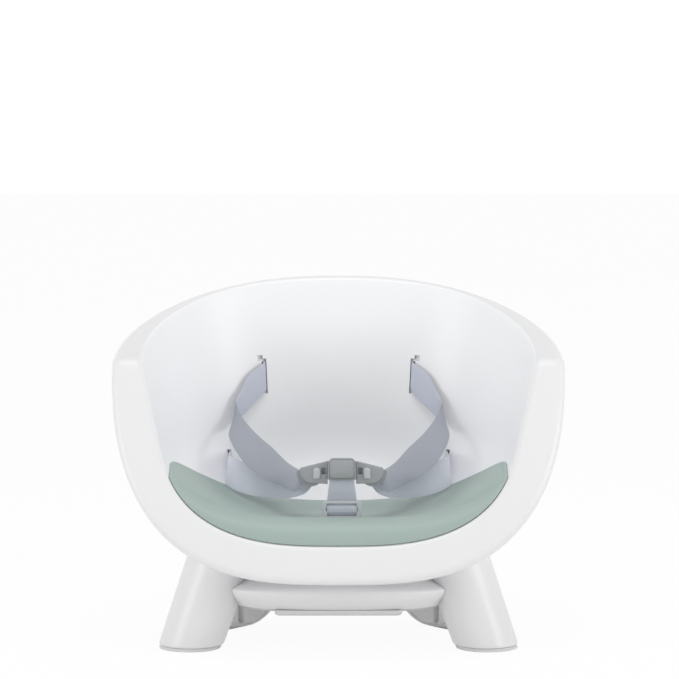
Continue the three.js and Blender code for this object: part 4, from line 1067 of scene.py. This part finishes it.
SLIDER_Z, BUCKLE_LOW, CROTCH_TOP = 118.2, 143.8, 21
BAR_BEND = ((1.4, -6.6), (-0.4, -4), (-2.2, -1.7), (-2.35, 0), (-2.2, 1.7), (-0.4, 4), (1.4, 6.6))
CROTCH_PATH = [
    (0, 88.5, WEB), (0, 104, WEB), *[(y, SLIDER_Z + z, WEB) for y, z in BAR_BEND], (0, 134, 23),
    (0, BUCKLE_LOW - 2, CROTCH_TOP), (0, BUCKLE_LOW + 2.3, CROTCH_TOP),
]
CROTCH = [
    [Vector((HARNESS_X + side * width / 2, HARNESS_Y + y, z)) for side in (-1, 1)]
    for y, z, width in CROTCH_PATH
]
OVER_BAR = 2 + len(BAR_BEND) // 2
for name, pairs, levels in (
    ("crotch_webbing_low", CROTCH[: OVER_BAR + 1], (100, SLIDER_Z - 7)),
    ("crotch_webbing_high", CROTCH[OVER_BAR:], (BUCKLE_LOW - 2, SLIDER_Z + 7)),
):
    start, end = [(HARNESS_X, HARNESS_Y, z) for z in levels]
    # The crotch strap takes the darker copy of the webbing, painted shade.
    strap(name, pairs, "crotch_strap", "slider", start, end, WEBBING_CROTCH_PAINTED_SHADE)

# Buckle, its button and tongues, the clips behind them and the slider

BUCKLE_TOP, BUCKLE_WIDTH, BUCKLE_DEPTH = 162.4, 23.4, 13
BUCKLE_Z = (BUCKLE_LOW + BUCKLE_TOP) / 2
BUCKLE_FRONT, BUCKLE_BACK = HARNESS_Y - BUCKLE_DEPTH / 2, HARNESS_Y + BUCKLE_DEPTH / 2
HOUSING_BULGE, HOUSING_LEAN, HOUSING_EDGE, HOUSING_RINGS = 0.9, 0.09, 1.1, (0.15, 0.4, 0.65, 0.87)
HOUSING_LOW = ((11.3, 0), (11.85, 1.2), (11.6, 7))
HOUSING_TOP = ((11.1, 3.4), (10.5, 2.1), (9.5, 0.9), (8.1, 0.15), (6, 0))
BUTTON_WIDTH, BUTTON_HEIGHT, BUTTON_DEPTH, BUTTON_BULGE = 20.2, 15.6, 4.9, 1.6
BUTTON_CORNER, BUTTON_EDGE, BUTTON_RINGS = 2.6, 0.4, (0.12, 0.25, 0.4, 0.55, 0.7, 0.85, 0.95)
BUTTON_FRONT = BUCKLE_FRONT - BUTTON_BULGE
BUTTON_BACK = BUTTON_FRONT + BUTTON_DEPTH
CREST, BEND_ABOVE, BEND_BELOW = -2.1, 0.0235, 0.035
WEB_SLOT, WEB_SLOT_IN = (21.6, 1.9, 10), 2.6
TONGUE_Y, TONGUE_THICK, TONGUE_LOW, TONGUE_TOP = -70.5, 4, 140, 159.1
TONGUE_IN, TONGUE_CORNER, TONGUE_CORNER_OUT = BUCKLE_WIDTH / 2 + GAP, 10, 25.1
TONGUE_TIP, TONGUE_TIP_PLACE, TONGUE_EDGE = 1.4, (33.7, 152.2), 0.9
TONGUE_FRONT, TONGUE_BACK = TONGUE_Y - TONGUE_THICK / 2, TONGUE_Y + TONGUE_THICK / 2
WINDOW, WINDOW_OUT, WINDOW_Z, WINDOW_FLOOR = (3.8, 5.8, 1), 15.4, 150.9, 0.6
PRONG_THICK, PRONG_HEIGHT, PRONG_END = 3.4, 11.4, 3
LUG_Y, LUG_WIDTH, LUG_HEIGHT, LUG_BEHIND, LUG_DROP = -63.4, 3.4, 17, 3, 1.5
LUG_SLOT, LUG_SLOT_OUT = (10, 1.9, 16.6), 6.2
POST_RADIUS, POST_OUT, POST_Z, POST_HEAD, POST_EDGE = 3.2, 20.9, 150.6, 1.3, 1.2
POST_STEM = ((-3.1, -3), (-2.4, -6.2), (3.4, -6.8), (3.2, -3))
CLIP_THICK, CLIP_RADIUS, CLIP_OUT, CLIP_Z, CLIP_EDGE = 2.5, 11.8, 26.4, 148.8, 0.5
CLIP_RIM, CLIP_RIM_POINTS = POST_RADIUS + 2.2, ((1, 0.7), (0, 0.9), (-1, 0.4), (-1, -0.7))
GRIP_SET_BACK, GRIP_SPARE, BRIDGE_WIDTH, BRIDGE_HEIGHT, BRIDGE_RISE = 2.4, 0.4, 4, 11, 3
GRIP_PROFILE = ((0, 1), (0.02, 1.4), (0.05, 1.6), (0.95, 1.6), (0.98, 1.4), (1, 1))
SLIDER, SLIDER_WINDOW, SLIDER_BAR = (34, 15, 4), (26.8, 10.6, 1.2), (28, 3.2, 0.5, 3)
SLIDER_Y, SLIDER_DEPTH, SLIDER_BACK = HARNESS_Y - 1.3, 3.4, 17
BAR_FRONT, BAR_BACK, BAR_EDGE = HARNESS_Y - 0.8, HARNESS_Y + 0.2, 0.3
SPRING_RADIUS, WIRE_RADIUS, SPRING_END, SPRING_STEPS, TURN_STEPS = 1.4, 0.35, 0.55, 112, 32


def out_from_buckle(side, outline):
    """An outline measured from the buckle's middle out to one side."""
    return [(HARNESS_X + side * u, v) for u, v in outline]


def buckle_bend(v):
    """How far the buckle's front curves back at a height above its middle."""
    rise = v - CREST
    return (BEND_ABOVE if rise > 0 else BEND_BELOW) * rise * rise


def bent_block(name, outline, levels, shares, lean=0.0):
    """A block whose front is divided into rings and bends back above and below its crest."""
    (front, edge), back, top = levels[0], levels[-1][0], max(v for _, v in outline)

    def place(u, v, w):
        drop = lean * (w - front) * clamp(v / top)
        y = w + buckle_bend(v) * (back - w) / (back - front)
        return Vector((HARNESS_X + u, y, BUCKLE_Z + v - drop))

    face = drawn_in(outline, edge)
    rings = [[place(u * t, v * t, front) for u, v in face] for t in shares]
    rings += [[place(u, v, w) for u, v in drawn_in(outline, inset)] for w, inset in levels]
    return loft(name, rings, place(0, 0, front))


def housing():
    front, low, top = BUCKLE_FRONT - HOUSING_BULGE, BUCKLE_LOW - BUCKLE_Z, BUCKLE_TOP - BUCKLE_Z
    half = [(u, low + v) for u, v in HOUSING_LOW] + [(u, top - v) for u, v in HOUSING_TOP]
    outline = half + [(-u, v) for u, v in reversed(half)]
    levels = edge_levels(front, BUCKLE_BACK, HOUSING_EDGE)
    body = bent_block("housing", outline, levels, HOUSING_RINGS, HOUSING_LEAN)
    slot = (60, PRONG_THICK + 2 * GAP, PRONG_HEIGHT + 2 * GAP)
    cut(body, block(*slot, HARNESS_X, TONGUE_Y, BUCKLE_Z))
    room = (BUTTON_WIDTH + 2 * GAP, BUTTON_HEIGHT + 2 * GAP, BUTTON_CORNER + GAP)
    cut(body, panel("room", room, HARNESS_X, BUCKLE_Z, [(front - 4, 0), (HARNESS_Y, 0)]))
    z = BUCKLE_LOW + WEB_SLOT_IN - WEB_SLOT[2] / 2
    return cut(body, block(*WEB_SLOT, HARNESS_X, HARNESS_Y, z))


def button():
    outline = rounded(BUTTON_WIDTH, BUTTON_HEIGHT, BUTTON_CORNER)
    levels = edge_levels(BUTTON_FRONT, BUTTON_BACK, BUTTON_EDGE)
    return bent_block("button_cap", outline, levels, BUTTON_RINGS)


def tongue(side):
    """A tongue's plate with its window, the prong into the buckle and the lug for the lap strap."""
    outline = [(TONGUE_IN, TONGUE_LOW), (TONGUE_IN, TONGUE_TOP)]
    corner = (TONGUE_CORNER_OUT, TONGUE_LOW + TONGUE_CORNER)
    outline[1:1] = arc(*corner, TONGUE_CORNER, -90, 0, 14)
    outline[-1:-1] = arc(*TONGUE_TIP_PLACE, TONGUE_TIP, 10, 78, 5)
    levels = edge_levels(TONGUE_FRONT, TONGUE_BACK, TONGUE_EDGE)
    sheet = slab("sheet", out_from_buckle(side, outline), levels)
    levels = [(TONGUE_FRONT - 2, 0), (TONGUE_BACK - WINDOW_FLOOR, 0)]
    cut(sheet, panel("window", WINDOW, HARNESS_X + side * WINDOW_OUT, WINDOW_Z, levels))
    length = TONGUE_IN + 1 - PRONG_END
    x = HARNESS_X + side * (PRONG_END + length / 2)
    prong = block(length, PRONG_THICK, PRONG_HEIGHT, x, TONGUE_Y, BUCKLE_Z)
    depth = LUG_Y + LUG_BEHIND - TONGUE_BACK
    x, y = HARNESS_X + side * (TONGUE_IN + LUG_WIDTH / 2), TONGUE_BACK - 1 + depth / 2
    lug = block(LUG_WIDTH, depth, LUG_HEIGHT, x, y, LAP_END_Z - LUG_DROP)
    x = HARNESS_X + side * (TONGUE_IN + LUG_SLOT_OUT)
    cut(lug, block(*LUG_SLOT, x, LUG_Y, LAP_END_Z))
    return joined("tongue_plate", [sheet, prong, lug])


def post(side):
    """The clip's hook, whose round head goes through the tongue and holds over its face."""
    outline = arc(POST_OUT, POST_Z, POST_RADIUS, -10, 190, 20) + at(POST_STEM, POST_OUT, POST_Z)
    levels = edge_levels(TONGUE_FRONT - POST_HEAD, TONGUE_BACK + CLIP_THICK + 3 * GAP, POST_EDGE)
    return slab("tongue_post", out_from_buckle(side, outline), levels)


def clip(side, strap_end, strap_room):
    """The disc behind a tongue, with the grip round the end of the shoulder strap."""
    front = TONGUE_BACK + GAP
    outline = arc(CLIP_OUT, CLIP_Z, CLIP_RADIUS, -125, 8, 26)
    outline += [(POST_OUT + u * CLIP_RIM, POST_Z + v * CLIP_RIM) for u, v in CLIP_RIM_POINTS]
    levels = edge_levels(front, front + CLIP_THICK, CLIP_EDGE, 3)
    sheet = slab("sheet", out_from_buckle(side, outline), levels)
    hole = oval(HARNESS_X + side * POST_OUT, POST_Z, 0, *[POST_RADIUS + GAP] * 2, 32)
    cut(sheet, slab("hole", [(p.x, p.y) for p in hole], [(-100, 0), (0, 0)]))
    top, low = strap_end
    along = (low - top).normalized()
    first, last = top - along * GRIP_SPARE, low + along * GRIP_SPARE
    turn = along.to_track_quat("Z", "Y")
    set_back = Vector((0, GRIP_SET_BACK, 0))
    grip = loft("grip", [
        [first.lerp(last, t) + set_back + turn @ p for p in oval(0, 0, 0, r, r, 20)]
        for t, r in GRIP_PROFILE
    ])
    middle = (top + low) / 2
    reach = middle.y - front
    centre = (middle.x - side * 4, front + CLIP_THICK / 2 + reach / 2, middle.z + BRIDGE_RISE)
    bridge = block(BRIDGE_WIDTH, reach, BRIDGE_HEIGHT, *centre)
    return joined("clip_disc", [sheet, cut(cut(grip, bridge, "UNION"), strap_room)])


def slider():
    """The ring on the crotch strap and the bar that the strap bends over."""
    levels = edge_levels(SLIDER_Y - SLIDER_DEPTH / 2, SLIDER_Y + SLIDER_DEPTH / 2, 1)
    ring = panel("ring", SLIDER, HARNESS_X, SLIDER_Z, levels)
    levels = [(SLIDER_Y - 5, 0), (SLIDER_Y + 5, 0)]
    cut(ring, panel("window", SLIDER_WINDOW, HARNESS_X, SLIDER_Z, levels))
    room = (SLIDER_WINDOW[0], 4, SLIDER_BACK)
    cut(ring, block(*room, HARNESS_X, HARNESS_Y + 1.4, SLIDER_Z))
    levels = edge_levels(BAR_FRONT, BAR_BACK, BAR_EDGE, 2)
    bar = panel("bar", SLIDER_BAR, HARNESS_X, SLIDER_Z, levels)
    return joined("slider_frame", [ring, bar])


def spring():
    low, high = BUTTON_BACK + SPRING_END, TONGUE_Y + PRONG_THICK / 2 - SPRING_END
    rings = []
    for i in range(SPRING_STEPS + 1):
        a = i / TURN_STEPS * tau
        out = Vector((cos(a), 0, sin(a)))
        centre = Vector((HARNESS_X, mix(low, high, i / SPRING_STEPS), BUCKLE_Z))
        centre += out * SPRING_RADIUS
        rings.append([
            centre + (out * cos(b) + Vector((0, 1, 0)) * sin(b)) * WIRE_RADIUS
            for b in (k / 10 * tau for k in range(10))
        ])
    return loft("return_spring", rings)


finish_piece(smooth(housing(), 40), "seat", "buckle", "buckle_housing")
finish_piece(smooth(button(), 40), "button", "button", "buckle_button")
finish_piece(smooth(slider(), 40), "slider", "buckle", "crotch_slider", tone=LIGHT_GREY)
coil = finish_piece(smooth(spring(), 60), "seat", "steel", "button_spring")
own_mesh(coil)
for word, side in SIDES:
    body = "tongue_" + word
    finish_piece(named(tongue(side), "tongue_plate_" + word, 40), body, "buckle", body)
    finish_piece(named(post(side), "tongue_post_" + word, 40), body, "buckle", tone=LIGHT_GREY)
    pairs = strap_pairs(side, SHOULDER_PATH, SHOULDER_FRAME[side])
    disc = clip(side, pairs[-2], ribbon("strap_room", pairs, GAP))
    finish_piece(named(disc, "clip_disc_" + word, 40), body, "buckle", "shoulder_clip_" + word)

# Camera, floor and light, in metres

CAMERA_TILT = 5.87
camera = linked("camera", bpy.data.cameras.new("camera"))
bpy.context.scene.camera = camera
camera.data.sensor_width = 36
camera.data.lens = 196.6
camera.data.clip_end = 50
camera.location = (0.0009, -3.165, 0.580)
camera.rotation_euler = (radians(90 - CAMERA_TILT), 0, 0)


def area_light(name, place, aim, size, power):
    data = bpy.data.lights.new(name, "AREA")
    data.shape = "RECTANGLE"
    data.size = data.size_y = size
    data.energy = power
    lamp = linked(name, data)
    lamp.location = place
    lamp.rotation_euler = (Vector(aim) - Vector(place)).to_track_quat("-Z", "Y").to_euler()


area_light("left", (-1.6, -0.95, 0.5), (0, 0, 0.18), 0.6, 7.5)
area_light("right", (1.6, -0.95, 0.5), (0, 0, 0.18), 0.6, 8.5)
area_light("top", (0, -0.5, 2.2), (0, 0, 0.15), 1, 12)


def seen_directly(tree):
    """1 for what the camera, a reflection or glass shows, 0 for light that falls on the object."""
    path = tree.nodes.new("ShaderNodeLightPath").outputs
    value = path["Is Camera Ray"]
    for output in ("Is Glossy Ray", "Is Transmission Ray"):
        value = math_node(tree, "MAXIMUM", value, path[output])
    return value


AMBIENT, FLOOR_GLOW, FLOOR_HALF = 0.62, 0.94, 6.0
world = bpy.data.worlds.new("world")
world.use_nodes = True
bpy.context.scene.world = world
strength = ranged(world.node_tree, seen_directly(world.node_tree), AMBIENT, 1)
background = world.node_tree.nodes["Background"]
wire(world.node_tree, background, {"Color": (1, 1, 1, 1), "Strength": strength})

corners = [(x * FLOOR_HALF, y * FLOOR_HALF, 0) for x, y in ((-1, -1), (1, -1), (1, 1), (-1, 1))]
floor_mesh = bpy.data.meshes.new("floor")
floor_mesh.from_pydata(corners, [], [(0, 1, 2, 3)])
floor = linked("floor", floor_mesh)
floor_material, tree, shader = material("floor_white")
wire(tree, shader, {"Base Color": (0.93, 0.93, 0.93, 1), "Roughness": 0.9})
glow = add(tree, "Emission", "Emission", {})
share = ranged(tree, seen_directly(tree), 0, FLOOR_GLOW)
both = add(tree, "MixShader", "Shader", {0: share, 1: shader.outputs["BSDF"], 2: glow})
wire(tree, tree.nodes["Material Output"], {"Surface": both})
floor_mesh.materials.append(floor_material)

bpy.context.scene.view_settings.view_transform = "Standard"
